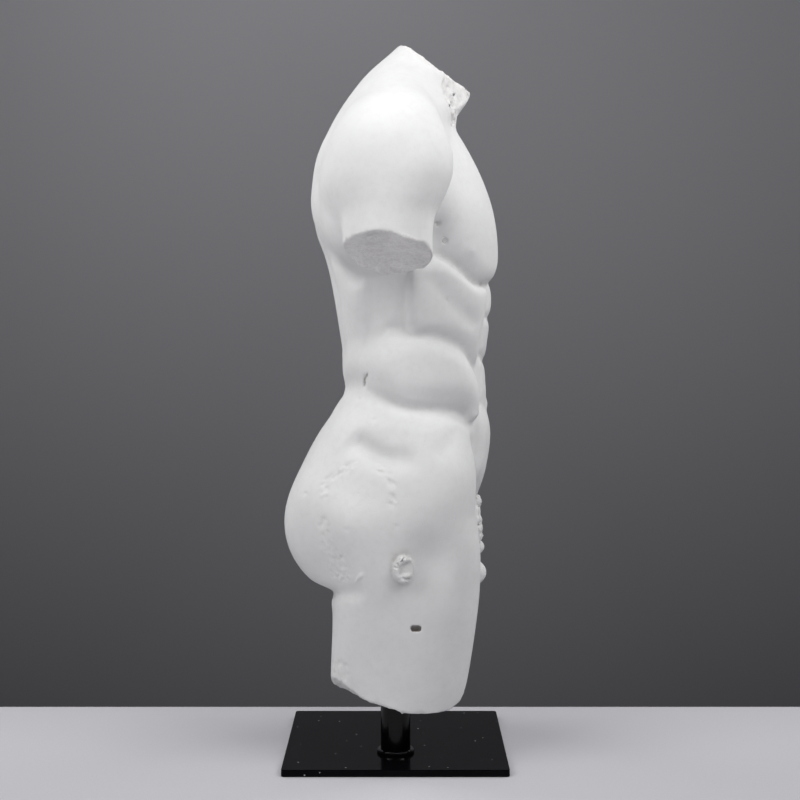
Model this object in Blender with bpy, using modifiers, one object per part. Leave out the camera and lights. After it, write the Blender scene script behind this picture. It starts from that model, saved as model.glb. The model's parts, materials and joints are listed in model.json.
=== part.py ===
"""A classical male torso of cast marble on a steel post and a square steel plate.

The torso is carved as a distance field: rounded sections stacked up the trunk and the limbs, with
the muscles laid on them in a chart that unrolls the trunk. A net of quads over its surface is
thinned and then cut: the socket for the post, the broken end of a strut with its hollow, and a
small square peg hole. Metres, +Z up, the origin in the middle of the plate's underside. The figure
faces -Y.
"""

import math

import bmesh
import bpy
import numpy as np
from mathutils import Matrix, Vector

MM = 0.001

# Driving dimensions, in metres.
PLATE_SIDE = 0.250
PLATE_THICKNESS = 0.008
PLATE_CORNER = 0.004
PLATE_EDGE = 0.0008
POST_X, POST_Y = -0.055, 0.0
POST_RADIUS = 0.01685
POST_TOP = 0.112
SOCKET_TOOL = 0.080
COLLAR_RADIUS = 0.0212
COLLAR_HEIGHT = 0.0045
GAP = 0.0003

# On the thigh's outer side: the middle of the strut's broken end, with its hollow open to the
# front, and the peg hole below it.
STRUT_END = Vector((-0.1475, -0.009, 0.232))
STRUT_HALF_WIDTH, STRUT_HALF_HEIGHT = 0.0110, 0.0139
STRUT_LENGTH = 0.016
HOLLOW_HALF_WIDTH, HOLLOW_HALF_HEIGHT = 0.0086, 0.0102
HOLLOW_FORWARD = 0.0038
HOLLOW_DEPTH = 0.0034
PEG_HOLE = Vector((-0.137, -0.022, 0.165))
PEG_SIZE = (0.012, 0.007)
PEG_DEPTH = 0.012

# The carved skin: the pitch of the net, and how far the thinning goes.
NET_PITCH = 5.0
NET_LOW = (-240, -140, 30)
NET_HIGH = (260, 150, 840)
KEPT_SHARE = 0.112

# The figure, in millimetres from the middle of the plate's underside. It faces -Y and stands on
# its right leg, at -X. The tables are written for the straightened, symmetric body.
WAIST_Z, CHEST_Z = 410, 600
HIP_SHIFT, SHOULDER_SHIFT = 12, 5
HIP_TILT, SHOULDER_TILT = -0.08, 0.05
BOW, BOW_LOW, BOW_HIGH = 8, 200, 720
STRETCHED_FLANK = 0.6
AXIS_Y = -10
GIRTH = 115
CROTCH_Z = 185
NECK_FRONT_Y, NECK_FRONT_Z, NECK_SLOPE, NECK_TILT = -83, 755.5, 0.705, 0.12
THIGH_TOP, ARM_TOP = 372, 718
THIGH_LEFT_Z = 135
CLEFT_DEPTH = 24
BREAK_Z = 68
BREAK_LEVEL_BACK, BREAK_LEVEL_FRONT = -18, -56
# The thigh's back outer corner is split off: a point on the split, and its rise outwards and back.
SPLIT_POINT, SPLIT_OUT, SPLIT_BACK = (-64, 50, 77.5), -0.36, 0.70

# height, centre x, half width, front y, back y, y of the widest point, squareness
TRUNK = (
    (860, 0, 54, -150, -50, -98, 2.0),
    (815, 0, 55, -120, -10, -66, 2.0),
    (785, 0, 58, -101, 19.5, -44, 2.0),
    (757, 0, 66, -87, 46, -20, 2.0),
    (745, 0, 78, -75, 56, -10, 2.0),
    (730, 0, 98, -68, 66, 0, 2.1),
    (716, 0, 112, -65.5, 74, 4, 2.2),
    (700, 0, 120, -71, 82, 4, 2.3),
    (680, 0, 127, -79, 88, 2, 2.4),
    (655, 0, 129, -89, 92, 0, 2.4),
    (625, 0, 128, -99, 94, 0, 2.4),
    (595, 0, 125, -104.5, 88.5, 0, 2.4),
    (570, 0, 121, -106, 78.5, -2, 2.4),
    (545, 0, 117, -105.5, 71, -6, 2.4),
    (505, 0, 114, -105, 63, -10, 2.4),
    (465, 0, 110, -100, 57, -12, 2.4),
    (435, 0, 108, -98, 54, -12, 2.5),
    (415, 0, 110, -99, 54, -12, 2.5),
    (395, 0, 114, -101, 68, -10, 2.4),
    (360, 0, 123, -102, 92, -6, 2.3),
    (325, 0, 130, -97, 108, 0, 2.2),
    (290, 0, 134, -89, 112, 4, 2.2),
    (262, 0, 134, -86, 112, 6, 2.2),
    (238, 0, 132, -82, 108, 6, 2.2),
    (215, 0, 127, -78, 98, 6, 2.2),
    (198, 0, 120, -74, 87, 4, 2.2),
    (188, 0, 112, -68, 75, 2, 2.2),
)
THIGH_RIGHT = (
    (372, -52, 48, -76, 52, -10, 2.2),
    (330, -60, 66, -87, 64, -10, 2.2),
    (290, -65, 75.5, -89, 70, -10, 2.2),
    (240, -67, 75, -94.5, 76, -10, 2.2),
    (195, -66, 72.5, -94, 71, -10, 2.3),
    (160, -66, 70, -90.5, 70.5, -10, 2.3),
    (120, -65, 68, -85, 72, -8, 2.3),
    (85, -64, 66, -79, 73, -5, 2.3),
    (40, -62, 63, -70, 72, 0, 2.3),
)
THIGH_LEFT = (
    (372, 62, 46, -74, 52, -10, 2.2),
    (330, 70, 58, -86, 60, -10, 2.2),
    (290, 76, 68, -93, 68, -12, 2.2),
    (240, 82, 71, -96, 70, -14, 2.2),
    (195, 87, 67, -95, 62, -18, 2.2),
    (150, 91, 63, -94, 55, -22, 2.2),
    (100, 94, 60, -93, 48, -25, 2.2),
)
ARM_RIGHT = (
    (740, -146, 18, -26, 32, 4, 2.0),
    (690, -158, 40, -48, 50, 4, 2.0),
    (655, -164, 43, -55, 56, 3, 2.1),
    (630, -167, 41, -47, 56, 5, 2.1),
    (612, -169, 38, -40, 55, 7, 2.1),
    (590, -170, 37, -39, 54.5, 8, 2.1),
    (560, -172, 37, -39, 54, 8, 2.1),
    (520, -176, 37, -38, 52, 8, 2.1),
)
ARM_LEFT = (
    (750, 152, 18, -26, 32, 4, 2.0),
    (700, 166, 40, -46, 50, 4, 2.0),
    (660, 174, 42, -50, 54, 2, 2.1),
    (620, 179, 39, -44, 50, 0, 2.1),
    (590, 184, 37, -42, 47, 0, 2.1),
    (540, 190, 36, -42, 44, -2, 2.1),
)
# sections, shoulder ball (centre, radii), break (height, rise forwards, rise outwards, centre), shrug
ARMS = {
    "right": (ARM_RIGHT, ((-152, 0, 660), (50, 57, 64)), (567, 0.11, -0.55, (-170, 8)), 0),
    "left": (ARM_LEFT, ((158, -1, 677), (50, 57, 63)), (596, -0.15, 0.40, (180, 8)), 15),
}
# centre, radii, lean, fillet; each is mirrored to both sides
MASSES = {
    "shoulder girdle": ((94, 8, 704), (84, 50, 45), 23, 34),
    "trapezius": ((44, 0, 738), (58, 34, 32), 30, 30),
    "slope of the shoulder": ((100, -2, 722), (76, 34, 34), 27, 30),
    "rear of the shoulder": ((122, 32, 630), (54, 40, 66), 0, 28),
    "buttock": ((64, 42, 264), (70, 82, 82), 0, 30),
}
# centre, radii, fillet
SEX = {
    "mons": ((0, -72, 268), (34, 26.5, 26), 9),
    "stub": ((0, -81, 232), (12, 22.5, 12.5), 6),
    "right": ((-9, -83, 202.5), (16, 22.5, 17), 4),
    "left": ((9, -82, 204), (16, 21.5, 17), 4),
}
# rise, then the outline as (degrees round the trunk from the front, height, run-in)
MUSCLES = {
    "pectoral": (11.5, (
        (-4, 556, 26), (12, 542, 18), (27, 536, 17), (47, 540, 18), (61, 558, 24), (70, 568, 30),
        (80, 577, 38), (86, 600, 54), (80, 645, 70), (64, 690, 80), (38, 722, 80), (14, 730, 80),
        (-4, 712, 40), (-4, 640, 28), (-4, 600, 26))),
    "shoulder blade": (6.5, (
        (100, 572, 30), (107, 555, 20), (115, 548, 18), (122, 551, 20), (130, 559, 24), (138, 572, 34),
        (164, 600, 44), (168, 650, 44), (160, 700, 44), (130, 724, 60), (104, 710, 50), (92, 640, 44),
        (94, 600, 34))),
    "back beside the spine": (6, (
        (181, 388, 40), (162, 392, 50), (150, 425, 44), (149, 500, 36), (158, 560, 44), (170, 620, 36),
        (181, 600, 24), (181, 480, 22))),
    "broad back muscle": (6, (
        (110, 548, 18), (108, 520, 22), (110, 486, 34), (120, 440, 90), (145, 410, 90), (160, 470, 70),
        (152, 560, 44), (136, 562, 30), (124, 545, 24), (116, 541, 20))),
    "ribs": (10, (
        (84, 570, 24), (89.5, 548, 11), (90, 505, 10), (88.5, 472, 14), (77, 463, 24), (64, 457, 24),
        (52, 447, 26), (42, 440, 26), (35, 450, 24), (31, 500, 22), (30, 534, 16), (47, 538, 12),
        (60, 555, 12), (72, 570, 14))),
    "flank": (18, (
        (168, 404, 90), (140, 408, 90), (122, 414, 70), (108, 408, 44), (98, 398, 38), (88, 391, 38),
        (68, 390.5, 36), (57, 388, 28), (49, 375, 18), (42, 382, 18), (39, 408, 22), (41, 431, 24),
        (53, 459, 28), (64, 471, 30), (76, 479, 33), (88, 479, 36), (100, 478, 52), (116, 476, 90),
        (145, 470, 90), (168, 460, 90))),
    "upper belly": (4.5, (
        (-3, 500, 14), (-3, 536, 14), (14, 541, 18), (28, 534, 20), (32, 515, 22), (29, 500, 14),
        (14, 498, 14))),
    "middle belly": (5, (
        (-3, 450, 14), (-3, 498, 14), (14, 497, 14), (29, 498, 14), (35, 480, 22), (34, 455, 16),
        (14, 449, 14))),
    "belly at the navel": (5.5, (
        (-3, 394, 20), (-3, 448, 14), (14, 447, 14), (33, 452, 16), (40, 430, 20), (39, 398, 20),
        (16, 392, 20))),
    "lower belly": (8, (
        (-3, 402, 34), (18, 400, 34), (36, 400, 24), (43, 378, 16), (42, 345, 16), (40, 316, 22),
        (22, 288, 34), (-3, 280, 26))),
    "hip": (7, (
        (45, 320, 24), (49, 364, 15), (58, 381, 20), (80, 385, 24), (98, 394, 28), (120, 408, 44),
        (145, 404, 70), (150, 340, 90), (122, 305, 90), (95, 285, 90), (70, 270, 80), (52, 275, 50))),
}
# width, depth, then the line as (degrees round the trunk from the front, height)
FURROWS = {
    "between the ribs": (12, 3.4, ((82, 558), (76, 543), (69, 523), (62, 509), (52, 495), (42, 486))),
    "under the flank": (7, 3.2, (
        (116, 412), (104, 404), (92, 393), (80, 388), (66, 388), (54, 383), (48, 368))),
    "over the hip joint": (12, 5.5, ((119, 366), (111, 356), (102, 345), (93, 341), (82, 346))),
    "behind the thigh's strap": (9, 1.2, ((59, 376), (65, 360), (71, 346), (76, 334))),
    "groin": (8, 5, ((49, 368), (46, 345), (42, 318), (30, 292), (16, 270))),
    "under the buttock": (8, 6, ((176, 192), (160, 188), (140, 186), (118, 191), (104, 197))),
    "along the thigh": (7, 1.2, ((97, 196), (97, 150), (97, 90), (97, 60))),
    "middle of the belly": (5, 1.6, ((0, 560), (0, 500), (0, 430), (0, 380), (0, 330))),
    "spine": (12, 5, ((180, 700), (180, 650), (180, 540), (180, 440), (180, 400))),
    "collar bone": (9, -2.0, ((14, 717), (24, 722), (40, 730), (58, 738))),
}
# degrees, height, half width, half height, rise
SWELLS = {
    "buttock": (111, 266, 26, 30, 6),
    "behind the buttock's crest": (131, 262, 20, 34, -2.5),
    "hollow of the hip": (76, 234, 21, 40, -10),
    "armpit": (77, 588, 19, 26, -13),
    "hollow of the flank": (98, 514, 24, 42, -10),
    "navel": (0, 386, 5, 6, -5),
    "pit of the throat": (0, 712, 9, 10, -4),
    "nipple": (55, 577, 5, 5, 1.6),
}


# ---- shape helpers: every length in millimetres, a distance is negative inside the stone ----


def blend_min(a, b, k):
    """Union of two distances, with a fillet of about k where they meet, whose curvature runs
    evenly into theirs."""
    h = np.maximum(1 - np.abs(a - b) / (1.5 * k), 0)
    return np.minimum(a, b) - 0.25 * k * h ** 3


def blend_max(a, b, k):
    """Intersection of two distances, with an edge rounded by about k."""
    return -blend_min(-a, -b, k)


def ease(v, start, end):
    """Smooth step from 0 at start to 1 at end."""
    t = np.clip((v - start) / (end - start), 0, 1)
    return t * t * (3 - 2 * t)


def through(t, knots, values):
    """Smooth curve through the knots: cubic pieces whose slopes average the neighbours'."""
    slopes = np.diff(values) / np.diff(knots)
    tangents = np.concatenate([slopes[:1], (slopes[:-1] + slopes[1:]) / 2, slopes[-1:]])
    i = np.clip(np.searchsorted(knots, t) - 1, 0, len(knots) - 2)
    gap = knots[i + 1] - knots[i]
    s = np.clip((t - knots[i]) / gap, 0, 1)
    start = (2 * s - 3) * s * s + 1
    end = (3 - 2 * s) * s * s
    return (start * values[i] + (s - 1) ** 2 * s * gap * tangents[i]
            + end * values[i + 1] + (s - 1) * s * s * gap * tangents[i + 1])


def ellipsoid(p, centre, radii, lean=0.0):
    """Distance to an ellipsoid whose x axis leans down by some degrees as it goes out."""
    a = math.radians(lean)
    q = p - np.array(centre, float)
    q = np.stack([q[:, 0] * math.cos(a) - q[:, 2] * math.sin(a), q[:, 1],
                  q[:, 0] * math.sin(a) + q[:, 2] * math.cos(a)], 1)
    r = np.array(radii, float)
    k0 = np.linalg.norm(q / r, axis=1) + 1e-9
    k1 = np.linalg.norm(q / r ** 2, axis=1) + 1e-9
    return k0 * (k0 - 1) / k1


def column(p, sections):
    """Distance to a stack of rounded sections, given from the top down as rows of
    (height, centre x, half width, front y, back y, y of the widest point, squareness)."""
    t = np.array(sections, float)[::-1]
    z = np.clip(p[:, 2], t[0, 0], t[-1, 0])
    cx, half, front, back, widest, power = (through(z, t[:, 0], t[:, j]) for j in range(1, 7))
    x = p[:, 0] - cx
    y = p[:, 1] - widest
    depth = np.where(y > 0, back - widest, widest - front)
    rho = (np.abs(x / half) ** power + np.abs(y / depth) ** power) ** (1 / power)
    return np.where(rho < 0.05, -half, np.hypot(x, y) * (1 - 1 / np.maximum(rho, 0.05)))


def chart(p):
    """Unrolls the trunk: girth in mm from the middle of the front, and height."""
    return np.stack([GIRTH * np.arctan2(p[:, 0], AXIS_Y - p[:, 1]), p[:, 2]], 1)


def unrolled(points):
    """Chart points written as (degrees round the trunk, height, ...)."""
    t = np.array(points, float)
    t[:, 0] = np.radians(t[:, 0]) * GIRTH
    return t


def smooth_chain(points, closed, steps=5):
    """More points along a smooth curve through the given ones."""
    if closed:
        points = np.concatenate([points[-2:], points, points[:3]])
        fine = np.arange(2, len(points) - 3 + 1e-9, 1 / steps)
    else:
        fine = np.linspace(0, len(points) - 1, steps * (len(points) - 1) + 1)
    knots = np.arange(len(points), dtype=float)
    return np.stack([through(fine, knots, points[:, j]) for j in range(points.shape[1])], 1)


def nearest(q, chain):
    """Distance from each chart point to a chain, and the place along it."""
    best = np.full(len(q), 1e9)
    place = np.zeros(len(q))
    for i, (a, b) in enumerate(zip(chain[:-1, :2], chain[1:, :2])):
        s = np.clip((q - a) @ (b - a) / ((b - a) @ (b - a) + 1e-9), 0, 1)
        d = np.hypot(*(q - a - s[:, None] * (b - a)).T)
        place = np.where(d < best, i + s, place)
        best = np.minimum(d, best)
    return best, place


def within(u, chain, reach):
    """Which chart points lie in a chain's bounding box, widened by reach."""
    low = chain[:, :2].min(0) - reach
    high = chain[:, :2].max(0) + reach
    return np.all((u > low) & (u < high), axis=1)


def muscle(u, outline, height):
    """A muscle laid on the trunk: it rises from its outline as a parabola over the run-in that
    each outline point gives, so that two neighbours meet in a crease. Further in, where several
    sides are near, the share of the rise is a mean of theirs, so that no ridge is left between."""
    chain = smooth_chain(unrolled(outline), closed=True)
    rise = np.zeros(len(u))
    near = within(u, chain, 0)
    q = u[near]
    if not len(q):
        return rise
    best = np.full(len(q), 1e9)
    share = np.zeros(len(q))
    total = np.zeros(len(q))
    inside = np.zeros(len(q), bool)
    for (x0, z0, run0), (x1, z1, run1) in zip(chain[:-1], chain[1:]):
        a, way = np.array([x0, z0]), np.array([x1 - x0, z1 - z0])
        s = np.clip((q - a) @ way / (way @ way + 1e-9), 0, 1)
        squared = np.maximum(((q - a - s[:, None] * way) ** 2).sum(1), 0.01)
        share = np.where(squared < best, np.sqrt(squared) / (run0 + (run1 - run0) * s), share)
        best = np.minimum(squared, best)
        total += math.hypot(*way) * ((run0 + run1) / 2) ** 3 / squared ** 2
        spans = (z0 > q[:, 1]) != (z1 > q[:, 1])
        inside ^= spans & (q[:, 0] < x0 + (q[:, 1] - z0) * (x1 - x0) / (z1 - z0 + 1e-9))
    mean = (total / (math.pi / 2)) ** (-1 / 3)
    t = np.where(inside, share + (mean - share) * ease(best, 25, 225), 0)
    t = np.clip(np.sqrt(t * t + 0.01) - 0.1, 0, 1)
    rise[near] = height * t * (2 - t)
    return rise


def groove(u, points, width, depth, fade=0.2):
    """A groove along a chart chain, fading out over a share of its length at both ends."""
    chain = smooth_chain(unrolled(points), closed=False)
    rise = np.zeros(len(u))
    near = within(u, chain, 2.6 * width)
    q = u[near]
    if not len(q):
        return rise
    d, place = nearest(q, chain)
    place = place / (len(chain) - 1)
    ends = ease(np.minimum(place, 1 - place), 0, fade)
    rise[near] = -depth * ends * np.exp(-(d / width) ** 2)
    return rise


def swell(u, degrees, height, wide, tall, rise):
    """A soft round swelling on the chart, or a hollow where rise is negative."""
    q = (u - np.array([math.radians(degrees) * GIRTH, height])) / np.array([wide, tall])
    return rise * np.exp(-(q * q).sum(1))


# ---- the figure ----


def stance(p):
    """Straightens the pose: over the standing leg the hips rise, the shoulders drop, and the
    body bows away from it."""
    s = ease(p[:, 2], WAIST_Z, CHEST_Z)
    bow = BOW * np.sin(math.pi * np.clip((p[:, 2] - BOW_LOW) / (BOW_HIGH - BOW_LOW), 0, 1)) ** 2
    x = p[:, 0] - (HIP_SHIFT + (SHOULDER_SHIFT - HIP_SHIFT) * s) - bow
    tilt = HIP_TILT + (SHOULDER_TILT - HIP_TILT) * s
    return np.stack([x, p[:, 1], p[:, 2] - tilt * x], 1)


def relief(s):
    """Height of the muscles and furrows over the trunk's plain sections."""
    u = chart(np.stack([np.abs(s[:, 0]), s[:, 1], s[:, 2]], 1))
    h = np.zeros(len(u))
    for name, (height, outline) in MUSCLES.items():
        rise = muscle(u, outline, height)
        h += rise * np.where(s[:, 0] > 0, STRETCHED_FLANK, 1) if name == "flank" else rise
    for width, depth, points in FURROWS.values():
        h += groove(u, points, width, depth)
    for place in SWELLS.values():
        h += swell(u, *place)
    return h


def limb(p, sections, top, cut):
    """An arm or a thigh: a column that starts inside the body and ends at its break."""
    return blend_max(blend_max(column(p, sections), p[:, 2] - top, 30), cut, 3)


def arm_break(p, height, front_rise, out_rise, centre):
    """The slanting plane that an arm is broken along."""
    plane = height + front_rise * (p[:, 1] - centre[1]) + out_rise * (p[:, 0] - centre[0])
    return (plane - p[:, 2]) / math.sqrt(1 + front_rise ** 2 + out_rise ** 2)


def thigh_break(p):
    """The standing thigh's underside: level round the post, rising behind and more so on the outer
    side, where its corner is split off, and rising steeply in front."""
    x, y, z = p.T
    behind = np.maximum(y - BREAK_LEVEL_BACK, 0)
    front = np.maximum(BREAK_LEVEL_FRONT - y, 0)
    out = ease(x, SPLIT_POINT[0] + 6, SPLIT_POINT[0] - 66)
    height = BREAK_Z + 0.15 * (1 + out) * behind + 0.034 * front ** 2
    steep = (0.068 * front) ** 2 + np.where(behind > 0, 0.05, 0)
    split = (SPLIT_POINT[2] + SPLIT_OUT * (x - SPLIT_POINT[0]) + SPLIT_BACK * (y - SPLIT_POINT[1]) - z)
    split = split / math.sqrt(1 + SPLIT_OUT ** 2 + SPLIT_BACK ** 2)
    return blend_max((height - z) / np.sqrt(1 + steep), split, 3)


def shoulder_fillet(p, shrug):
    """Fillet of an arm: wide over the shoulder and behind it, narrow at the armpit and in front."""
    y, z = p[:, 1], p[:, 2] - shrug
    above = ease(z, 600, 700) * ease(y, -60, 10)
    behind = ease(z, 585, 650) * ease(y, -25, 60)
    top = ease(z, 675, 735)
    return 14 + 34 * (1 - (1 - above) * (1 - behind) * (1 - top))


def torso(p):
    """Distance to the whole torso."""
    s = stance(p)
    m = np.stack([np.abs(s[:, 0]), s[:, 1], s[:, 2]], 1)
    d = blend_max(column(s, TRUNK), CROTCH_Z - s[:, 2], 15)
    for centre, radii, lean, k in MASSES.values():
        d = blend_min(d, ellipsoid(m, centre, radii, lean), k)
    d = blend_min(d, limb(p, THIGH_RIGHT, THIGH_TOP, thigh_break(p)), 16)
    d = blend_min(d, limb(p, THIGH_LEFT, THIGH_TOP, THIGH_LEFT_Z + 0.1 * p[:, 1] - p[:, 2]), 12)
    near = np.abs(d) < 50
    d[near] -= relief(s[near]) * ease(np.abs(d[near]), 50, 20)
    for sections, shoulder, cut, shrug in ARMS.values():
        arm = blend_min(limb(p, sections, ARM_TOP + shrug, arm_break(p, *cut)), ellipsoid(p, *shoulder), 20)
        d = blend_min(d, arm, shoulder_fillet(p, shrug))
    for centre, radii, k in SEX.values():
        d = blend_min(d, ellipsoid(s, centre, radii), k)
    behind = ease(s[:, 1], 20, 70) * ease(s[:, 2], 350, 290) * ease(s[:, 2], 165, 190)
    d += CLEFT_DEPTH * np.exp(-(s[:, 0] / 10) ** 2) * behind
    neck = p[:, 2] - NECK_FRONT_Z - NECK_SLOPE * (p[:, 1] - NECK_FRONT_Y) - NECK_TILT * p[:, 0]
    return blend_max(d, neck / math.sqrt(1 + NECK_SLOPE ** 2 + NECK_TILT ** 2), 4)


# ---- the skin: a net of quads over the surface ----


def unpinched(values, small):
    """Fills a grid corner wherever a grid face has its two inside corners on a diagonal, so that
    no two sheets of the net share an edge."""
    for _ in range(6):
        pinched = 0
        for axis in range(3):
            v = np.moveaxis(values, axis, 2)
            corners = v[:-1, :-1], v[1:, :-1], v[1:, 1:], v[:-1, 1:]
            signs = [c < 0 for c in corners]
            diagonal = (signs[0] == signs[2]) & (signs[1] == signs[3]) & (signs[0] != signs[1])
            places = np.argwhere(diagonal)
            pinched += len(places)
            for i, j, k in places:
                outside = ((i, j), (i + 1, j + 1)) if v[i, j, k] >= 0 else ((i + 1, j), (i, j + 1))
                a, b = min(outside, key=lambda ij: v[ij[0], ij[1], k])
                v[a, b, k] = -small
        if not pinched:
            break
    return values


def skin(f, low, high, step):
    """Surface net: one point in each grid cell that the surface crosses, one quad across
    each grid edge that it crosses."""
    n = np.ceil((np.array(high) - low) / step).astype(int) + 1
    axes = [low[i] + step * np.arange(n[i]) for i in range(3)]
    grid = np.stack(np.meshgrid(*axes, indexing="ij"), -1).reshape(-1, 3)
    values = np.concatenate([f(part) for part in np.array_split(grid, 16)]).reshape(n)
    values = unpinched(values, 0.05 * step)
    sums = np.zeros((*(n - 1), 3))
    count = np.zeros(n - 1)

    def corner(offset):
        return values[tuple(slice(o, size - 1 + o) for o, size in zip(offset, n))]

    for offset in np.ndindex(2, 2, 2):
        for axis in range(3):
            if offset[axis]:
                continue
            across = list(offset)
            across[axis] = 1
            a, b = corner(offset), corner(across)
            crossed = (a < 0) != (b < 0)
            t = np.where(crossed, a / np.where(crossed, a - b, 1), 0)
            for j in range(3):
                sums[..., j] += np.where(crossed, offset[j] + (t if j == axis else 0), 0)
            count += crossed
    cells = np.argwhere(count > 0)
    index = -np.ones(n - 1, int)
    index[tuple(cells.T)] = np.arange(len(cells))
    points = np.array(low) + step * (cells + sums[tuple(cells.T)] / count[tuple(cells.T)][:, None])
    quads = []
    unit = np.eye(3, dtype=int)
    for axis in range(3):
        u, v = (axis + 1) % 3, (axis + 2) % 3
        inside = np.moveaxis(values < 0, axis, 0)
        edges = np.argwhere(inside[:-1] != inside[1:])
        edges = np.insert(edges[:, 1:], axis, edges[:, 0], axis=1)
        keep = (edges[:, u] > 0) & (edges[:, v] > 0) & (edges[:, u] < n[u] - 1) & (edges[:, v] < n[v] - 1)
        edges = edges[keep]
        ring = [edges - unit[u] - unit[v], edges - unit[v], edges, edges - unit[u]]
        quad = np.stack([index[tuple(r.T)] for r in ring], 1)
        outward = values[tuple(edges.T)] < 0
        quad[~outward] = quad[~outward][:, ::-1]
        quads.append(quad)
    return points, np.concatenate(quads)


def gradient(f, p, e=0.4):
    """Slope of f at p, from four points of a small tetrahedron."""
    ways = np.array([[1, -1, -1], [-1, -1, 1], [-1, 1, -1], [1, 1, 1]], float)
    return sum(way * f(p + e * way)[:, None] for way in ways) / (4 * e)


def settle(f, p, rounds, most):
    """Moves points onto the surface f = 0 by Newton steps of at most a given length."""
    for _ in range(rounds):
        d = f(p)
        g = gradient(f, p)
        move = -(d / np.maximum((g * g).sum(1), 0.05))[:, None] * g
        length = np.linalg.norm(move, axis=1, keepdims=True)
        p = p + move * np.minimum(1, most / np.maximum(length, 1e-9))
    return p


# ---- Blender objects ----


def clear_scene():
    for thing in list(bpy.data.objects):
        bpy.data.objects.remove(thing, do_unlink=True)


def collection(name):
    made = bpy.data.collections.new(name)
    bpy.context.scene.collection.children.link(made)
    return made


def material(name, colour, roughness, metallic):
    made = bpy.data.materials.new(name)
    made.use_nodes = True
    shader = made.node_tree.nodes["Principled BSDF"]
    shader.inputs["Base Color"].default_value = (*colour, 1)
    shader.inputs["Roughness"].default_value = roughness
    shader.inputs["Metallic"].default_value = metallic
    return made


def mesh_object(name, mesh, group, made_of=None):
    thing = bpy.data.objects.new(name, mesh)
    group.objects.link(thing)
    if made_of:
        mesh.materials.append(made_of)
    return thing


def box_mesh(name, size):
    shape = bmesh.new()
    bmesh.ops.create_cube(shape, size=1, matrix=Matrix.Diagonal((*size, 1)))
    mesh = bpy.data.meshes.new(name)
    shape.to_mesh(mesh)
    shape.free()
    return mesh


def cylinder_mesh(name, radius, length, segments):
    shape = bmesh.new()
    bmesh.ops.create_cone(
        shape, cap_ends=True, segments=segments, radius1=radius, radius2=radius, depth=length)
    mesh = bpy.data.meshes.new(name)
    shape.to_mesh(mesh)
    shape.free()
    return mesh


def oval_mesh(name, half_width, half_height, length, segments):
    """An oval bar along X whose outer end lies at x = 0."""
    mesh = cylinder_mesh(name, 1, length, segments)
    lie = Matrix.Rotation(math.radians(90), 4, "Y")
    stretch = Matrix.Diagonal((1, half_width, half_height, 1))
    mesh.transform(Matrix.Translation((length / 2, 0, 0)) @ stretch @ lie)
    return mesh


def turned_mesh(name, profile):
    """A closed profile of (radius, height) points, to be turned about Z."""
    mesh = bpy.data.meshes.new(name)
    edges = [(i, (i + 1) % len(profile)) for i in range(len(profile))]
    mesh.from_pydata([(radius, 0, height) for radius, height in profile], edges, [])
    return mesh


def bevel(thing, width, segments, only_upright=False):
    step = thing.modifiers.new("rounded", "BEVEL")
    step.width = width
    step.segments = segments
    step.limit_method = "WEIGHT" if only_upright else "ANGLE"
    return step


def boolean(thing, tool, operation):
    step = thing.modifiers.new(f"{operation.lower()} {tool.name}", "BOOLEAN")
    step.operation = operation
    step.object = tool
    return step


def tool_object(name, mesh, group):
    tool = mesh_object(name, mesh, group)
    tool.display_type = "WIRE"
    tool.hide_render = True
    return tool


def make_plate(group, steel):
    """The square plate: upright corners rounded first, then every edge eased."""
    mesh = box_mesh("base_plate", (PLATE_SIDE, PLATE_SIDE, PLATE_THICKNESS))
    upright = mesh.attributes.new("bevel_weight_edge", "FLOAT", "EDGE")
    for edge in mesh.edges:
        a, b = (mesh.vertices[i].co for i in edge.vertices)
        upright.data[edge.index].value = 1.0 if abs(a.z - b.z) > PLATE_THICKNESS / 2 else 0.0
    plate = mesh_object("base_plate", mesh, group, steel)
    plate.location = (0, 0, PLATE_THICKNESS / 2)
    bevel(plate, PLATE_CORNER, 4, only_upright=True)
    bevel(plate, PLATE_EDGE, 2)
    return plate


def make_post(group, steel):
    """The round post, from the plate up into the thigh's socket."""
    foot = PLATE_THICKNESS + GAP
    mesh = cylinder_mesh("post", POST_RADIUS, POST_TOP - foot, 40)
    post = mesh_object("post", mesh, group, steel)
    post.location = (POST_X, POST_Y, (POST_TOP + foot) / 2)
    return post


def make_collar(group, steel):
    """The ring round the post's foot, with a rounded upper edge."""
    inner = POST_RADIUS + GAP
    round_off = COLLAR_HEIGHT * 0.6
    centre = (COLLAR_RADIUS - round_off, COLLAR_HEIGHT - round_off)
    arc = [(centre[0] + round_off * math.sin(a), centre[1] + round_off * math.cos(a))
           for a in np.radians([0, 30, 60, 90])]
    profile = [(inner, COLLAR_HEIGHT), *arc, (COLLAR_RADIUS, 0), (inner, 0)]
    collar = mesh_object("collar", turned_mesh("collar", profile), group, steel)
    collar.location = (POST_X, POST_Y, PLATE_THICKNESS + GAP)
    turning = collar.modifiers.new("turned", "SCREW")
    turning.steps = 40
    turning.render_steps = 40
    turning.use_merge_vertices = True
    turning.merge_threshold = 0.00001
    return collar


def net_mesh():
    """The torso's skin as a mesh in metres."""
    points, quads = skin(torso, NET_LOW, NET_HIGH, NET_PITCH)
    points = settle(torso, points, rounds=3, most=3) * MM
    mesh = bpy.data.meshes.new("torso")
    mesh.from_pydata(points.tolist(), [], quads.tolist())
    mesh.validate()
    return mesh


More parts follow.
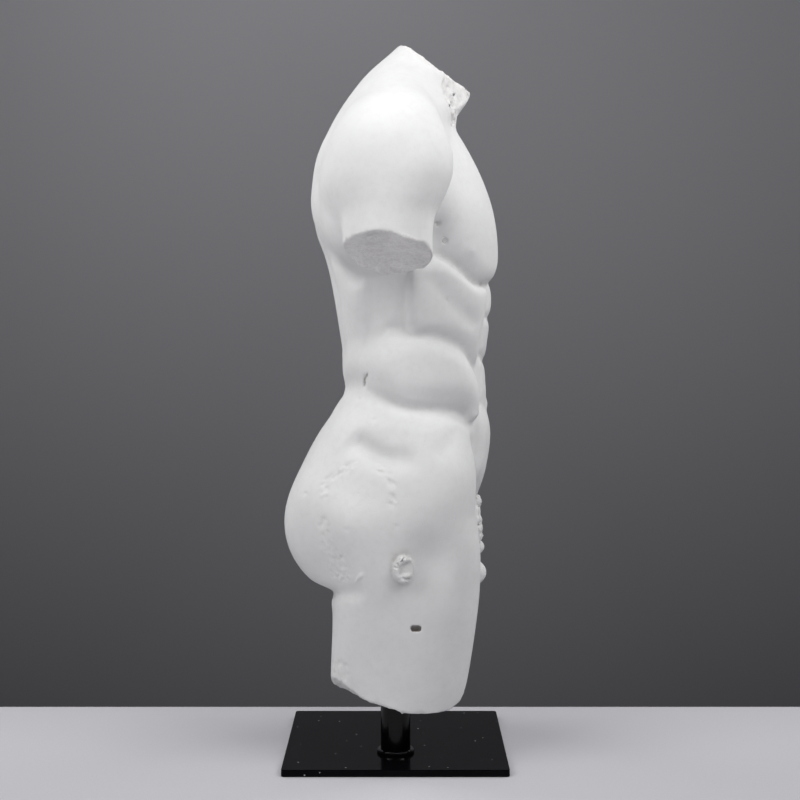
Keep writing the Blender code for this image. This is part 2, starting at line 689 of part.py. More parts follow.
def make_torso(group, tools, stone):
    """The carved skin, thinned, with the strut's broken end added and three hollows cut."""
    carved = mesh_object("torso", net_mesh(), group, stone)
    thinned = carved.modifiers.new("thinned", "DECIMATE")
    thinned.ratio = KEPT_SHARE
    bar = oval_mesh("strut", STRUT_HALF_WIDTH, STRUT_HALF_HEIGHT, STRUT_LENGTH, 20)
    strut = tool_object("strut", bar, tools)
    strut.location = STRUT_END
    bore = oval_mesh("hollow", HOLLOW_HALF_WIDTH, HOLLOW_HALF_HEIGHT, 2 * HOLLOW_DEPTH, 14)
    hollow = tool_object("hollow", bore, tools)
    hollow.location = STRUT_END + Vector((-HOLLOW_DEPTH, -HOLLOW_FORWARD, 0))
    peg = tool_object("peg_hole", box_mesh("peg_hole", (2 * PEG_DEPTH, *PEG_SIZE)), tools)
    peg.location = PEG_HOLE
    socket = tool_object("socket", cylinder_mesh("socket", POST_RADIUS + GAP, SOCKET_TOOL, 40), tools)
    socket.location = (POST_X, POST_Y, POST_TOP + GAP - SOCKET_TOOL / 2)
    boolean(carved, strut, "UNION")
    for tool in (hollow, peg, socket):
        boolean(carved, tool, "DIFFERENCE")
    return carved


def main():
    clear_scene()
    group = collection("Marble torso")
    tools = collection("Torso tools")
    stone = material("cast marble", (0.80, 0.79, 0.77), 0.62, 0)
    for part, maker in (("plate", make_plate), ("post", make_post), ("collar", make_collar)):
        maker(group, material(f"black enamelled steel {part}", (0.012, 0.012, 0.014), 0.16, 0))
    make_torso(group, tools, stone)


if __name__ == "__main__":
    main()
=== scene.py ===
"""Finished looks of a marble torso on its steel stand: skin, breaks, materials, stage and camera.

The torso is worked out again as the same distance field that shapes its solid, on a finer net of
quads, with the broken stone, scars and pits that the solid leaves out. Lengths in the field are in
millimetres, the objects are in metres.
"""

import functools
import json
import math
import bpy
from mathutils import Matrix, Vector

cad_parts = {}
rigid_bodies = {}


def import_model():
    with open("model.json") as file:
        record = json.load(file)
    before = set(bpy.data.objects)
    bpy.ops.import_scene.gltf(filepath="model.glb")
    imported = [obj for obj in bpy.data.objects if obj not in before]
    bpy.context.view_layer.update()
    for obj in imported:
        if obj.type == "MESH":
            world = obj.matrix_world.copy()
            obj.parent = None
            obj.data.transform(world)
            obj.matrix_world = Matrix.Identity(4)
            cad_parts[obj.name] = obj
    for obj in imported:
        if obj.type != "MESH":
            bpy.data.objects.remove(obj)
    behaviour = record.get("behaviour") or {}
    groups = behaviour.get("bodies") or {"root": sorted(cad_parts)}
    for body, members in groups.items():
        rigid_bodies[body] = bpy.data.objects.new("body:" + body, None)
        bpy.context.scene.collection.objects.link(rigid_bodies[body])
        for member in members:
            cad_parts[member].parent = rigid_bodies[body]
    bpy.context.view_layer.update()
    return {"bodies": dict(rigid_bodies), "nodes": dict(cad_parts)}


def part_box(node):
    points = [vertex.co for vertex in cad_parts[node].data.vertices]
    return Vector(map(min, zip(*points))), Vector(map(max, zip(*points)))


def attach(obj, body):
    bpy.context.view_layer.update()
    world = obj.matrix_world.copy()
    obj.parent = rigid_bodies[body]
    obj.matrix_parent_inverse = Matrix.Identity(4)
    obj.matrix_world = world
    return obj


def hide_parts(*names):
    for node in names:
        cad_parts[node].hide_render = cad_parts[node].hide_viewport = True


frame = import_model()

from concurrent.futures import ThreadPoolExecutor

import bmesh
import bpy
import numpy as np
from bpy.props import FloatProperty, FloatVectorProperty, PointerProperty
from mathutils import Vector

bl_info = {
    "name": "Marble torso",
    "version": (1, 0, 0),
    "blender": (4, 5, 0),
    "location": "3D View > Sidebar > Torso",
    "description": "A marble torso on a steel stand, with its stage, light and camera",
    "category": "Object",
}

MM = 0.001
TORSO_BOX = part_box("torso")
BODY = next(iter(frame["bodies"]))

# The figure, in millimetres from the middle of the plate's underside. It faces -Y and stands on
# its right leg, at -X. The tables are written for the straightened, symmetric body.
NET_LOW, NET_HIGH = (-240, -140, 30), (260, 150, 840)
# Between waist and chest the hips' shift and tilt pass into the shoulders'. The body bows to its
# left between two heights, and the stretched left flank keeps a share of its rise.
WAIST_Z, CHEST_Z = 410, 600
HIP_SHIFT, SHOULDER_SHIFT = 12, 5
HIP_TILT, SHOULDER_TILT = -0.08, 0.05
BOW, BOW_LOW, BOW_HIGH = 8, 200, 720
STRETCHED_FLANK = 0.6
# The chart unrolls the trunk from an upright axis at this y, with this girth to a radian.
AXIS_Y, GIRTH = -10, 115
# Heights at which the trunk ends, the limbs start and the left thigh is broken, rising backwards.
CROTCH_Z, THIGH_TOP, ARM_TOP, THIGH_LEFT_Z, THIGH_LEFT_RISE = 185, 372, 718, 135, 0.1
# An arm is what lies above this height and this far out. Its fillet's least and greatest size.
ARM_LOW, ARM_OUT = 500, 122
ARM_FILLET = (7, 48)
CLEFT_DEPTH, CLEFT_WIDTH = 24, 10
# The neck's break: a point on it in front, its rise backwards and its rise to the left.
NECK_FRONT_Y, NECK_FRONT_Z, NECK_SLOPE, NECK_TILT = -83, 755.5, 0.705, 0.12
# The standing thigh's break: its height, the two y it is level between, its rise behind, which
# doubles between two x, that rise squared, and how it curls up in front.
BREAK_Z, BREAK_LEVEL_BACK, BREAK_LEVEL_FRONT = 68, -18, -56
BREAK_RISE, BREAK_OUTER, BREAK_STEEP, BREAK_CURL = 0.15, (-58, -130), 0.05, 0.034
# Its back outer corner is split off: a point on the split, and its rise outwards and back.
SPLIT_POINT, SPLIT_OUT, SPLIT_BACK = (-64, 50, 77.5), -0.36, 0.70

# height, centre x, half width, front y, back y, y of the widest point, squareness
TRUNK = (
    (860, 0, 54, -150, -50, -98, 2.0),
    (815, 0, 55, -120, -10, -66, 2.0),
    (785, 0, 58, -101, 19.5, -44, 2.0),
    (757, 0, 66, -87, 46, -20, 2.0),
    (745, 0, 78, -81.5, 56, -10, 2.0),
    (730, 0, 98, -71, 66, 0, 2.1),
    (716, 0, 112, -65.5, 74, 4, 2.2),
    (700, 0, 120, -71, 82, 4, 2.3),
    (680, 0, 127, -79, 88, 2, 2.4),
    (655, 0, 129, -89, 92, 0, 2.4),
    (625, 0, 128, -99, 94, 0, 2.4),
    (595, 0, 125, -104.5, 88.5, 0, 2.4),
    (570, 0, 121, -106, 78.5, -2, 2.4),
    (545, 0, 117, -105.5, 71, -6, 2.4),
    (505, 0, 114, -105, 63, -10, 2.4),
    (465, 0, 110, -100, 57, -12, 2.4),
    (435, 0, 108, -98, 54, -12, 2.5),
    (415, 0, 110, -99, 54, -12, 2.5),
    (395, 0, 114, -101, 68, -10, 2.4),
    (360, 0, 123, -102, 92, -6, 2.3),
    (325, 0, 130, -97, 108, 0, 2.2),
    (290, 0, 134, -89, 112, 4, 2.2),
    (262, 0, 134, -86, 112, 6, 2.2),
    (238, 0, 132, -82, 108, 6, 2.2),
    (215, 0, 127, -78, 98, 6, 2.2),
    (198, 0, 120, -74, 87, 4, 2.2),
    (188, 0, 112, -68, 75, 2, 2.2),
)
THIGH_RIGHT = (
    (372, -52, 48, -76, 52, -10, 2.2),
    (330, -60, 66, -87, 64, -10, 2.2),
    (290, -65, 75.5, -89, 70, -10, 2.2),
    (240, -67, 75, -94.5, 76, -10, 2.2),
    (195, -65, 71, -94, 71, -10, 2.3),
    (160, -64, 68, -90.5, 70.5, -10, 2.3),
    (120, -62, 65, -85, 72, -8, 2.3),
    (85, -60.5, 62.5, -79, 73, -5, 2.3),
    (40, -58, 59, -70, 72, 0, 2.3),
)
THIGH_LEFT = (
    (372, 62, 46, -74, 52, -10, 2.2),
    (330, 70, 58, -86, 60, -10, 2.2),
    (290, 76, 68, -93, 68, -12, 2.2),
    (240, 82, 71, -96, 70, -14, 2.2),
    (195, 87, 67, -95, 62, -18, 2.2),
    (150, 91, 63, -94, 55, -22, 2.2),
    (100, 94, 60, -93, 48, -25, 2.2),
)
ARM_RIGHT = (
    (740, -146, 18, -26, 32, 4, 2.0),
    (690, -158, 40, -48, 50, 4, 2.0),
    (655, -164, 43, -55, 56, 3, 2.1),
    (630, -167, 41, -47, 56, 5, 2.1),
    (612, -169, 38, -40, 55, 7, 2.1),
    (590, -170, 37, -39, 54.5, 8, 2.1),
    (560, -172, 37, -39, 54, 8, 2.1),
    (520, -176, 37, -38, 52, 8, 2.1),
)
ARM_LEFT = (
    (750, 152, 18, -26, 32, 4, 2.0),
    (700, 166, 40, -46, 50, 4, 2.0),
    (660, 174, 42, -50, 54, 2, 2.1),
    (620, 179, 39, -44, 50, 0, 2.1),
    (590, 184, 37, -42, 47, 0, 2.1),
    (540, 190, 36, -42, 44, -2, 2.1),
)
# sections, shoulder ball (centre, radii), break (height, rise backwards, rise to the left, its
# centre's x and y), and how much higher than the right shoulder it is
ARMS = {
    "right": (ARM_RIGHT, ((-152, 0, 660), (50, 57, 64)), (567, 0.11, -0.55, (-170, 8)), 0),
    "left": (ARM_LEFT, ((158, -1, 677), (50, 57, 63)), (596, -0.15, 0.40, (180, 8)), 15),
}
# centre, radii, lean, fillet; each is mirrored to both sides
MASSES = {
    "shoulder girdle": ((94, 8, 704), (84, 50, 45), 23, 34),
    "trapezius": ((44, 0, 738), (58, 34, 32), 30, 30),
    "slope of the shoulder": ((100, -2, 722), (76, 34, 34), 27, 30),
    "rear of the shoulder": ((122, 32, 630), (54, 40, 66), 0, 28),
    "buttock": ((64, 42, 264), (70, 82, 82), 0, 30),
}
# centre, radii, fillet
SEX = {
    "mons": ((0, -72, 268), (34, 26.5, 26), 9),
    "stub": ((0, -81, 232), (12, 22.5, 12.5), 6),
    "right": ((-9, -83, 202.5), (16, 22.5, 17), 4),
    "left": ((9, -82, 204), (16, 21.5, 17), 4),
}
# rise, then the outline as (degrees round the trunk from the front, height, run-in)
MUSCLES = {
    "pectoral": (11.5, (
        (-4, 556, 26), (12, 542, 18), (27, 536, 17), (47, 540, 18), (61, 558, 24), (70, 568, 30),
        (80, 577, 38), (86, 600, 54), (80, 645, 70), (64, 690, 80), (38, 722, 80), (14, 730, 80),
        (-4, 712, 40), (-4, 640, 28), (-4, 600, 26))),
    "shoulder blade": (6.5, (
        (100, 572, 30), (107, 555, 20), (115, 548, 18), (122, 551, 20), (130, 559, 24), (138, 572, 34),
        (164, 600, 44), (168, 650, 44), (160, 700, 44), (130, 724, 60), (104, 710, 50), (92, 640, 44),
        (94, 600, 34))),
    "back beside the spine": (6, (
        (181, 388, 40), (162, 392, 50), (150, 425, 44), (149, 500, 36), (158, 560, 44), (170, 620, 36),
        (181, 600, 24), (181, 480, 22))),
    "broad back muscle": (6, (
        (110, 548, 18), (108, 520, 22), (110, 486, 34), (120, 440, 90), (145, 410, 90), (160, 470, 70),
        (152, 560, 44), (136, 562, 30), (124, 545, 24), (116, 541, 20))),
    "ribs": (10, (
        (84, 570, 24), (89.5, 548, 11), (90, 505, 10), (88.5, 476, 14), (77, 470, 22), (64, 463, 22),
        (52, 451, 24), (42, 440, 26), (35, 450, 24), (31, 500, 22), (30, 534, 16), (47, 538, 12),
        (60, 555, 12), (72, 570, 14))),
    "flank": (18, (
        (168, 404, 90), (140, 408, 90), (122, 414, 70), (108, 408, 44), (98, 398, 38), (88, 391, 38),
        (68, 390.5, 36), (57, 388, 28), (49, 375, 18), (42, 382, 18), (39, 408, 22), (41, 431, 24),
        (53, 459, 28), (64, 471, 30), (76, 479, 33), (88, 479, 36), (100, 478, 52), (116, 476, 90),
        (145, 470, 90), (168, 460, 90))),
    "upper belly": (4.5, (
        (-3, 500, 14), (-3, 536, 14), (14, 541, 18), (28, 534, 20), (32, 515, 22), (29, 500, 14),
        (14, 498, 14))),
    "middle belly": (5, (
        (-3, 450, 14), (-3, 498, 14), (14, 497, 14), (29, 498, 14), (35, 480, 22), (34, 455, 16),
        (14, 449, 14))),
    "belly at the navel": (5.5, (
        (-3, 394, 20), (-3, 448, 14), (14, 447, 14), (33, 452, 16), (40, 430, 20), (39, 398, 20),
        (16, 392, 20))),
    "lower belly": (8, (
        (-3, 402, 34), (18, 400, 34), (36, 400, 24), (43, 378, 16), (42, 345, 16), (40, 316, 22),
        (22, 288, 34), (-3, 280, 26))),
    "hip": (7, (
        (45, 320, 24), (49, 364, 15), (58, 381, 20), (80, 385, 24), (98, 394, 28), (120, 408, 44),
        (145, 404, 70), (150, 340, 90), (122, 305, 90), (95, 285, 90), (70, 270, 80), (52, 275, 50))),
}
# width, depth, then the line as (degrees round the trunk from the front, height)
FURROWS = {
    "between the ribs": (12, 3.4, ((82, 558), (76, 543), (69, 523), (62, 509), (52, 495), (42, 486))),
    "under the flank": (7, 3.2, (
        (116, 412), (104, 404), (92, 393), (80, 388), (66, 388), (54, 383), (48, 368))),
    "over the hip joint": (12, 7, ((119, 361), (111, 350), (102, 339), (93, 335), (82, 340))),
    "over the flank": (7, 3.5, ((104, 486), (96, 485), (89, 485), (82, 486))),
    "behind the thigh's strap": (9, 1.2, ((59, 376), (65, 360), (71, 346), (76, 334))),
    "groin": (8, 5, ((49, 368), (46, 345), (42, 318), (30, 292), (16, 270))),
    "under the buttock": (8, 6, ((176, 192), (160, 188), (140, 186), (118, 191), (104, 197))),
    "along the thigh": (7, 1.2, ((97, 196), (97, 150), (97, 90), (97, 60))),
    "middle of the belly": (5, 1.6, ((0, 560), (0, 500), (0, 430), (0, 380), (0, 330))),
    "spine": (12, 5, ((180, 700), (180, 650), (180, 540), (180, 440), (180, 400))),
    "collar bone": (9, -2.0, ((14, 717), (24, 722), (40, 730), (58, 738))),
}
# degrees, height, half width, half height, rise
SWELLS = {
    "buttock": (111, 266, 26, 30, 6),
    "behind the buttock's crest": (131, 262, 20, 34, -2.5),
    "hollow of the hip": (79, 227, 22, 38, -12.5),
    "armpit": (75, 592, 21, 27, -17),
    "hollow of the flank": (98, 514, 24, 42, -10),
    "navel": (0, 386, 5, 6, -5),
    "pit of the throat": (0, 712, 9, 10, -4),
    "nipple": (55, 577, 5, 5, 1.6),
}

# Broken stone: how deep its facets lie, how wide the largest of them are, and the number that
# picks their pattern. The streaks are a chisel's, and STREAK_LENGTH times as long as wide.
NECK_ROUGHNESS = (3.0, 14, 61)
ARM_ROUGHNESS = (4.8, 30, 41)
STREAKS, STREAK_LENGTH = (1.3, 3.5, 44), 3.0
THIGH_RIGHT_ROUGHNESS = (3.0, 20, 31)
THIGH_RIGHT_SPALLS = (1.5, 7, 33)
THIGH_LEFT_ROUGHNESS = (3.0, 20, 37)
# The strut's broken end and the peg hole, on the right thigh's outer side. A tongue of stone is
# left across the hollow: y and z of its middle from the end's, then half its height and length.
STRUT_END, STRUT_HALF = (-147.5, -9, 230.5), (11.0, 13.9)
STRUT_ROUGHNESS = (1.4, 5, 95)
HOLLOW_HALF, HOLLOW_FORWARD, HOLLOW_DEPTH = (8.6, 10.2), 3.8, 3.4
TONGUE, TONGUE_HALF = (-4, -6.0), (2.2, 6.0)
PEG_HOLE, PEG_HALF, PEG_DEPTH = (-137, -22, 165), (6.0, 3.5), 12
PEG_ROUGHNESS = (0.8, 6, 91)
# Both lie beyond this x, this near the strut's y, and between these heights.
MARKS_OUT, MARKS_WIDTH, MARKS_LOW, MARKS_HIGH = -110, 40, 140, 265
# The flake that hangs from the arm's break: x and y of its root, its width and its length.
FLAKE = (-138, 2, 5.5, 15)
# Chips struck off: a point on the flat that is left and the way it faces, the middle and radii of
# the egg that bounds it, and its roughness.
CHIPS = (
    ((-40, -62.5, 735), (-0.50, -0.85, 0.15), (-30, -68, 745), (34, 30, 30), (1.8, 6, 71)),
    ((-30, -72.5, 745), (-0.39, -0.88, -0.27), (-30, -68, 742), (26, 24, 26), (0.8, 8, 71)),
)
# Patches worn to pebbles: centre, radii, and the depth, size and pattern of the pebbles.
WORN = (
    ((-38, -62, 735), (23, 22, 27), (2.6, 4.2, 81)),
    ((-90, 58, 112), (28, 18, 17), (1.6, 5, 81)),
)
# Rows of curls over the pubis: height, number, y of the middle one's root; then their spacing,
# radius, fillet and roughness, and how far a row falls back by its ends.
CURL_ROWS = ((286, 3, -93.5), (275, 4, -92.5), (264, 5, -94.5), (254, 4, -95), (245, 3, -94.5))
CURL_SPACING, CURL_RADIUS, CURL_FILLET, CURL_FALL = 10, 7, 1.5, 0.012
CURL_ROUGHNESS = (2.2, 4, 51)
# Rough bands worn into the skin on the figure's right side: width, strength, then the line as
# (degrees round the trunk from the front, height).
SCAR_SIZE, SCAR_ROUGHNESS, SCAR_DEPTH, SCAR_SEED = 3.2, 1.5, 0.4, 5
SCARS = (
    (5, 1.0, ((113, 331), (121, 320), (126, 309), (125.5, 297))),
    (4, 1.5, ((102, 328), (96, 313), (95, 289))),
    (6, 1.5, ((124, 268), (124, 255), (123, 238))),
    (13, 1.5, ((120, 226), (119, 214))),
)
# Fine cracks: width, depth (below 0 for a raised line), then the line as the scars give it.
CRACKS = (
    (1.4, 4.0, ((112, 433), (113, 429), (115.5, 425), (116, 420), (118, 414))),
    (2.2, -1.4, ((127, 208), (119, 201), (110, 207), (107, 216))),
)
# Small pits: degrees, height, half width, half height, depth.
PITS = (
    (72.2, 607, 1.8, 1.8, 9),
    (68, 588, 1.5, 2.4, 9),
    (68, 519, 2, 2, 1.5),
    (119, 402, 2.5, 2, 1),
    (106, 379, 2.5, 2, 0.8),
    (136, 298, 2.5, 2, 0.8),
    (93, 265, 2, 2, 0.8),
    (113, 261, 2.5, 2, 0.8),
)

# The chart's map reaches this far round from the middle of the front, and between these heights.
MAP_GIRTH, MAP_LOW, MAP_HIGH = 362, 60, 800
# The relief is laid on in full this near the skin, and fades out to its reach. The wear reaches
# less far, on the right side alone.
RELIEF_FULL, RELIEF_REACH, WEAR_REACH, WORN_SIDE = 20, 50, 6, -30
# The painted shade of a fold is judged from this far off the skin, and a break is rough this far to
# each side of it.
FOLD_SHADE_REACH, ROUGH_REACH = 8, 12


# ---- shape helpers: every length in millimetres, a distance is negative inside the stone ----


def blend_min(a, b, k):
    """Union: the smaller distance, less a fillet of about k, the cube of how alike they are."""
    h = np.maximum(1 - np.abs(a - b) / (1.5 * k), 0)
    return np.minimum(a, b) - 0.25 * k * h ** 3


def blend_max(a, b, k):
    """Intersection of two distances, with an edge rounded by about k."""
    return -blend_min(-a, -b, k)


def ease(v, start, end):
    """Smooth step from 0 at start to 1 at end: three squares of the share less two cubes."""
    t = np.clip((v - start) / (end - start), 0, 1)
    return t * t * (3 - 2 * t)


def through(t, knots, values):
    """Smooth curve through the knots: cubic pieces whose slopes average the neighbours'."""
    slopes = np.diff(values) / np.diff(knots)
    tangents = np.concatenate([slopes[:1], (slopes[:-1] + slopes[1:]) / 2, slopes[-1:]])
    i = np.clip(np.searchsorted(knots, t) - 1, 0, len(knots) - 2)
    gap = knots[i + 1] - knots[i]
    s = np.clip((t - knots[i]) / gap, 0, 1)
    start = (2 * s - 3) * s * s + 1
    end = (3 - 2 * s) * s * s
    return (start * values[i] + (s - 1) ** 2 * s * gap * tangents[i]
            + end * values[i + 1] + (s - 1) * s * s * gap * tangents[i + 1])


def ellipsoid(p, centre, radii, lean=0.0):
    """Distance to an ellipsoid whose x axis leans down by some degrees as it goes out: its scaled
    radius, times that less 1, over the slope of both."""
    a = math.radians(lean)
    q = p - centre
    q = np.stack([q[:, 0] * math.cos(a) - q[:, 2] * math.sin(a), q[:, 1],
                  q[:, 0] * math.sin(a) + q[:, 2] * math.cos(a)], 1)
    r = np.array(radii, float)
    k0 = np.linalg.norm(q / r, axis=1) + 1e-9
    k1 = np.linalg.norm(q / r ** 2, axis=1) + 1e-9
    return k0 * (k0 - 1) / k1


def column(p, sections):
    """Distance to a stack of superellipses, listed from the top down as (height, centre x, half
    width, front y, back y, y of the widest point, squareness): the way from the axis, less the
    part of it that lies inside the outline."""
    t = np.array(sections, float)[::-1]
    z = np.clip(p[:, 2], t[0, 0], t[-1, 0])
    cx, half, front, back, widest, power = (through(z, t[:, 0], t[:, j]) for j in range(1, 7))
    x = p[:, 0] - cx
    y = p[:, 1] - widest
    depth = np.where(y > 0, back - widest, widest - front)
    rho = (np.abs(x / half) ** power + np.abs(y / depth) ** power) ** (1 / power)
    return np.where(rho < 0.05, -half, np.hypot(x, y) * (1 - 1 / np.maximum(rho, 0.05)))


def chart(p):
    """Unrolls the trunk: girth in mm from the middle of the front, and height."""
    return np.stack([GIRTH * np.arctan2(p[:, 0], AXIS_Y - p[:, 1]), p[:, 2]], 1)


def smooth_chain(points, closed=False, steps=5):
    """Chart points along a smooth curve through some (degrees round the trunk, height, ...)."""
    points = np.array(points, float)
    points[:, 0] = np.radians(points[:, 0]) * GIRTH
    if closed:
        points = np.concatenate([points[-2:], points, points[:3]])
        fine = np.arange(2, len(points) - 3 + 1e-9, 1 / steps)
    else:
        fine = np.linspace(0, len(points) - 1, steps * (len(points) - 1) + 1)
    knots = np.arange(len(points), dtype=float)
    return np.stack([through(fine, knots, points[:, j]) for j in range(points.shape[1])], 1)


def within(u, chain, reach):
    """Which chart points lie in a chain's bounds, widened by reach."""
    low = chain[:, :2].min(0) - reach
    high = chain[:, :2].max(0) + reach
    return np.all((u > low) & (u < high), axis=1)


def beside(u, points, reach):
    """Which chart points lie near a line, their distances from it and their shares of its way."""
    chain = smooth_chain(points)
    near = within(u, chain, reach)
    q = u[near]
    best = np.full(len(q), 1e9)
    place = np.zeros(len(q))
    for i, (a, b) in enumerate(zip(chain[:-1], chain[1:])):
        s = np.clip((q - a) @ (b - a) / ((b - a) @ (b - a) + 1e-9), 0, 1)
        d = np.hypot(*(q - a - s[:, None] * (b - a)).T)
        place = np.where(d < best, i + s, place)
        best = np.minimum(d, best)
    return near, best, place / (len(chain) - 1)


def muscle(u, outline, height):
    """A muscle laid on the trunk: it rises from its outline as a parabola over each point's run-in,
    so that neighbours meet in a crease. From 5 to 15 mm in, a mean over all its sides, weighted by
    the inverse fourth power of their distance, takes over and leaves no ridge between two."""
    chain = smooth_chain(outline, closed=True)
    rise = np.zeros(len(u))
    near = within(u, chain, 0)
    q = u[near]
    best = np.full(len(q), 1e9)
    share = np.zeros(len(q))
    total = np.zeros(len(q))
    inside = np.zeros(len(q), bool)
    for (x0, z0, run0), (x1, z1, run1) in zip(chain[:-1], chain[1:]):
        a, way = np.array([x0, z0]), np.array([x1 - x0, z1 - z0])
        s = np.clip((q - a) @ way / (way @ way + 1e-9), 0, 1)
        squared = np.maximum(((q - a - s[:, None] * way) ** 2).sum(1), 0.01)
        share = np.where(squared < best, np.sqrt(squared) / (run0 + (run1 - run0) * s), share)
        best = np.minimum(squared, best)
        total += math.hypot(*way) * ((run0 + run1) / 2) ** 3 / squared ** 2
        spans = (z0 > q[:, 1]) != (z1 > q[:, 1])
        inside ^= spans & (q[:, 0] < x0 + (q[:, 1] - z0) * (x1 - x0) / (z1 - z0 + 1e-9))
    mean = (total / (math.pi / 2)) ** (-1 / 3)
    t = np.where(inside, share + (mean - share) * ease(best, 5 ** 2, 15 ** 2), 0)
    t = np.clip(np.sqrt(t * t + 0.01) - 0.1, 0, 1)
    rise[near] = height * t * (2 - t)
    return rise


def groove(u, points, width, depth, fade=0.2):
    """A groove along a chart line: a bell curve across it, fading out at both ends."""
    rise = np.zeros(len(u))
    near, d, place = beside(u, points, 2.6 * width)
    ends = ease(np.minimum(place, 1 - place), 0, fade)
    rise[near] = -depth * ends * np.exp(-(d / width) ** 2)
    return rise


def swell(u, degrees, height, wide, tall, rise):
    """A bell-shaped swelling on the chart, or a hollow where rise is negative."""
    q = (u - (math.radians(degrees) * GIRTH, height)) / (wide, tall)
    return rise * np.exp(-(q * q).sum(1))


# ---- broken and weathered stone ----


def lattice(cells, seed):
    """A fixed number from -1 to 1 for each whole-number lattice corner, by hashing it."""
    h = cells @ (73856093, 19349663, 83492791) + seed * 2654435761
    h = (h ^ (h >> 13)) * 1274126177
    return ((h ^ (h >> 16)) & 0xFFFF) / 32767.5 - 1


TURN = np.array([[0.36, 0.48, -0.8], [-0.8, 0.6, 0.0], [0.48, 0.64, 0.6]])


def grain(p, size, seed, smooth=True):
    """Value noise from -1 to 1: fixed numbers on a turned cubic lattice, blended across each cell,
    smoothly or in a straight way that leaves flat facets."""
    q = p @ TURN.T / size
    cell = np.floor(q).astype(np.int64)
    t = q - cell
    if smooth:
        t = t * t * (3 - 2 * t)
    total = np.zeros(len(p))
    for corner in np.ndindex(2, 2, 2):
        share = np.prod(np.where(corner, t, 1 - t), axis=1)
        total += share * lattice(cell + corner, seed)
    return total


def rubble(p, size, seed):
    """Broken stone from -1 to 1: flat-faceted noise in two sizes and a smooth one, each of half
    the last one's size."""
    return (grain(p, size, seed, False) + 0.5 * grain(p, size / 2, seed + 1, False)
            + 0.3 * grain(p, size / 4, seed + 2)) / 1.4


def marked(u, lines):
    """How strongly each chart point lies in a band: the band's strength along its middle, and
    nothing at its sides."""
    share = np.zeros(len(u))
    for width, strength, points in lines:
        near, d, _ = beside(u, points, 2.2 * width)
        share[near] = np.maximum(share[near], strength * np.exp(-(d / width) ** 4))
    return share


def roughened(p, d, depth, size, seed):
    """A face broken off rather than sawn: near it the distance gains broken stone's facets."""
    near = np.abs(d) < ROUGH_REACH
    rough = np.zeros(len(d))
    rough[near] = depth * rubble(p[near], size, seed)
    return d + rough


def chiselled(p, d):
    """An arm's broken face: facets, the marks of a point chisel drawn across them, and on the
    right arm a flake left hanging from the inner edge."""
    d = roughened(p, d, *ARM_ROUGHNESS)
    d = roughened(p / (1, STREAK_LENGTH, 1), d, *STREAKS)
    x, y, wide, long = FLAKE
    return d - long * np.exp(-((p[:, 0] - x) ** 2 + (p[:, 1] - y) ** 2) / wide ** 2)


def beyond(p, point, facing):
    """How far each point lies outside a flat."""
    return (p - point) @ facing


def struck(p, point, facing, centre, radii, roughness):
    """What a chip takes away: the stone beyond a rough flat, inside a bounding egg."""
    flat = roughened(p, beyond(p, point, facing), *roughness)
    return np.minimum(flat, -ellipsoid(p, centre, radii))


def pebbled(p, d, centre, radii, pebbles):
    """Pebbly wear inside an egg, at full depth in its middle and fading out at its edge and
    beside the neck's break."""
    depth, size, seed = pebbles
    near = (np.abs(p - centre) < radii).all(1) & (np.abs(d) < 8)
    wear = np.zeros(len(p))
    inner = ease(ellipsoid(p[near], centre, radii), 0, -7) * ease(neck_break(p[near]), -3, -9)
    wear[near] = inner * depth * (0.4 + rubble(p[near], size, seed))
    return wear


def in_space(s, half_width, front, bottom, top):
    """Which points lie in a space round the middle plane, in front of y = front."""
    return (np.abs(s[:, 0]) < half_width) & (s[:, 1] < front) & (s[:, 2] > bottom) & (s[:, 2] < top)


def curled(s, d):
    """Adds the curls: rows of rough balls, every other row shifted by half a ball."""
    near = in_space(s, 36, front=-60, bottom=238, top=322)
    q, solid = s[near], d[near]
    for height, number, root in CURL_ROWS:
        for x in CURL_SPACING * (np.arange(number) - (number - 1) / 2):
            away = q - (x, root + CURL_FALL * x * x, height)
            ball = np.linalg.norm(away, axis=1) - CURL_RADIUS
            solid = blend_min(solid, roughened(q, ball, *CURL_ROUGHNESS), CURL_FILLET)
    d[near] = solid
    return d


# ---- the figure ----


def stance(p):
    """Straightens the pose: over the standing leg the hips rise, the shoulders drop, and the
    body bows away from it."""
    s = ease(p[:, 2], WAIST_Z, CHEST_Z)
    bow = BOW * np.sin(math.pi * np.clip((p[:, 2] - BOW_LOW) / (BOW_HIGH - BOW_LOW), 0, 1)) ** 2
    x = p[:, 0] - (HIP_SHIFT + (SHOULDER_SHIFT - HIP_SHIFT) * s) - bow
    tilt = HIP_TILT + (SHOULDER_TILT - HIP_TILT) * s
    return np.stack([x, p[:, 1], p[:, 2] - tilt * x], 1)


def map_points():
    """Every millimetre of the chart's half, with the map's shape."""
    grid = np.mgrid[0:MAP_GIRTH + 1, MAP_LOW:MAP_HIGH]
    return grid.reshape(2, -1).T.astype(float), grid.shape[1:]


@functools.cache
def relief_map():
    """Height of the muscles and furrows, from the back round the right side and the front."""
    u, shape = map_points()
    sides = np.zeros((2, len(u)))
    for name, (rise, outline) in MUSCLES.items():
        left_share = STRETCHED_FLANK if name == "flank" else 1
        sides += muscle(u, outline, rise) * [[1], [left_share]]
    for width, depth, points in FURROWS.values():
        sides += groove(u, points, width, depth)
    for place in SWELLS.values():
        sides += swell(u, *place)
    right, left = sides.reshape(2, *shape)
    return np.concatenate([right[::-1], left[1:]])


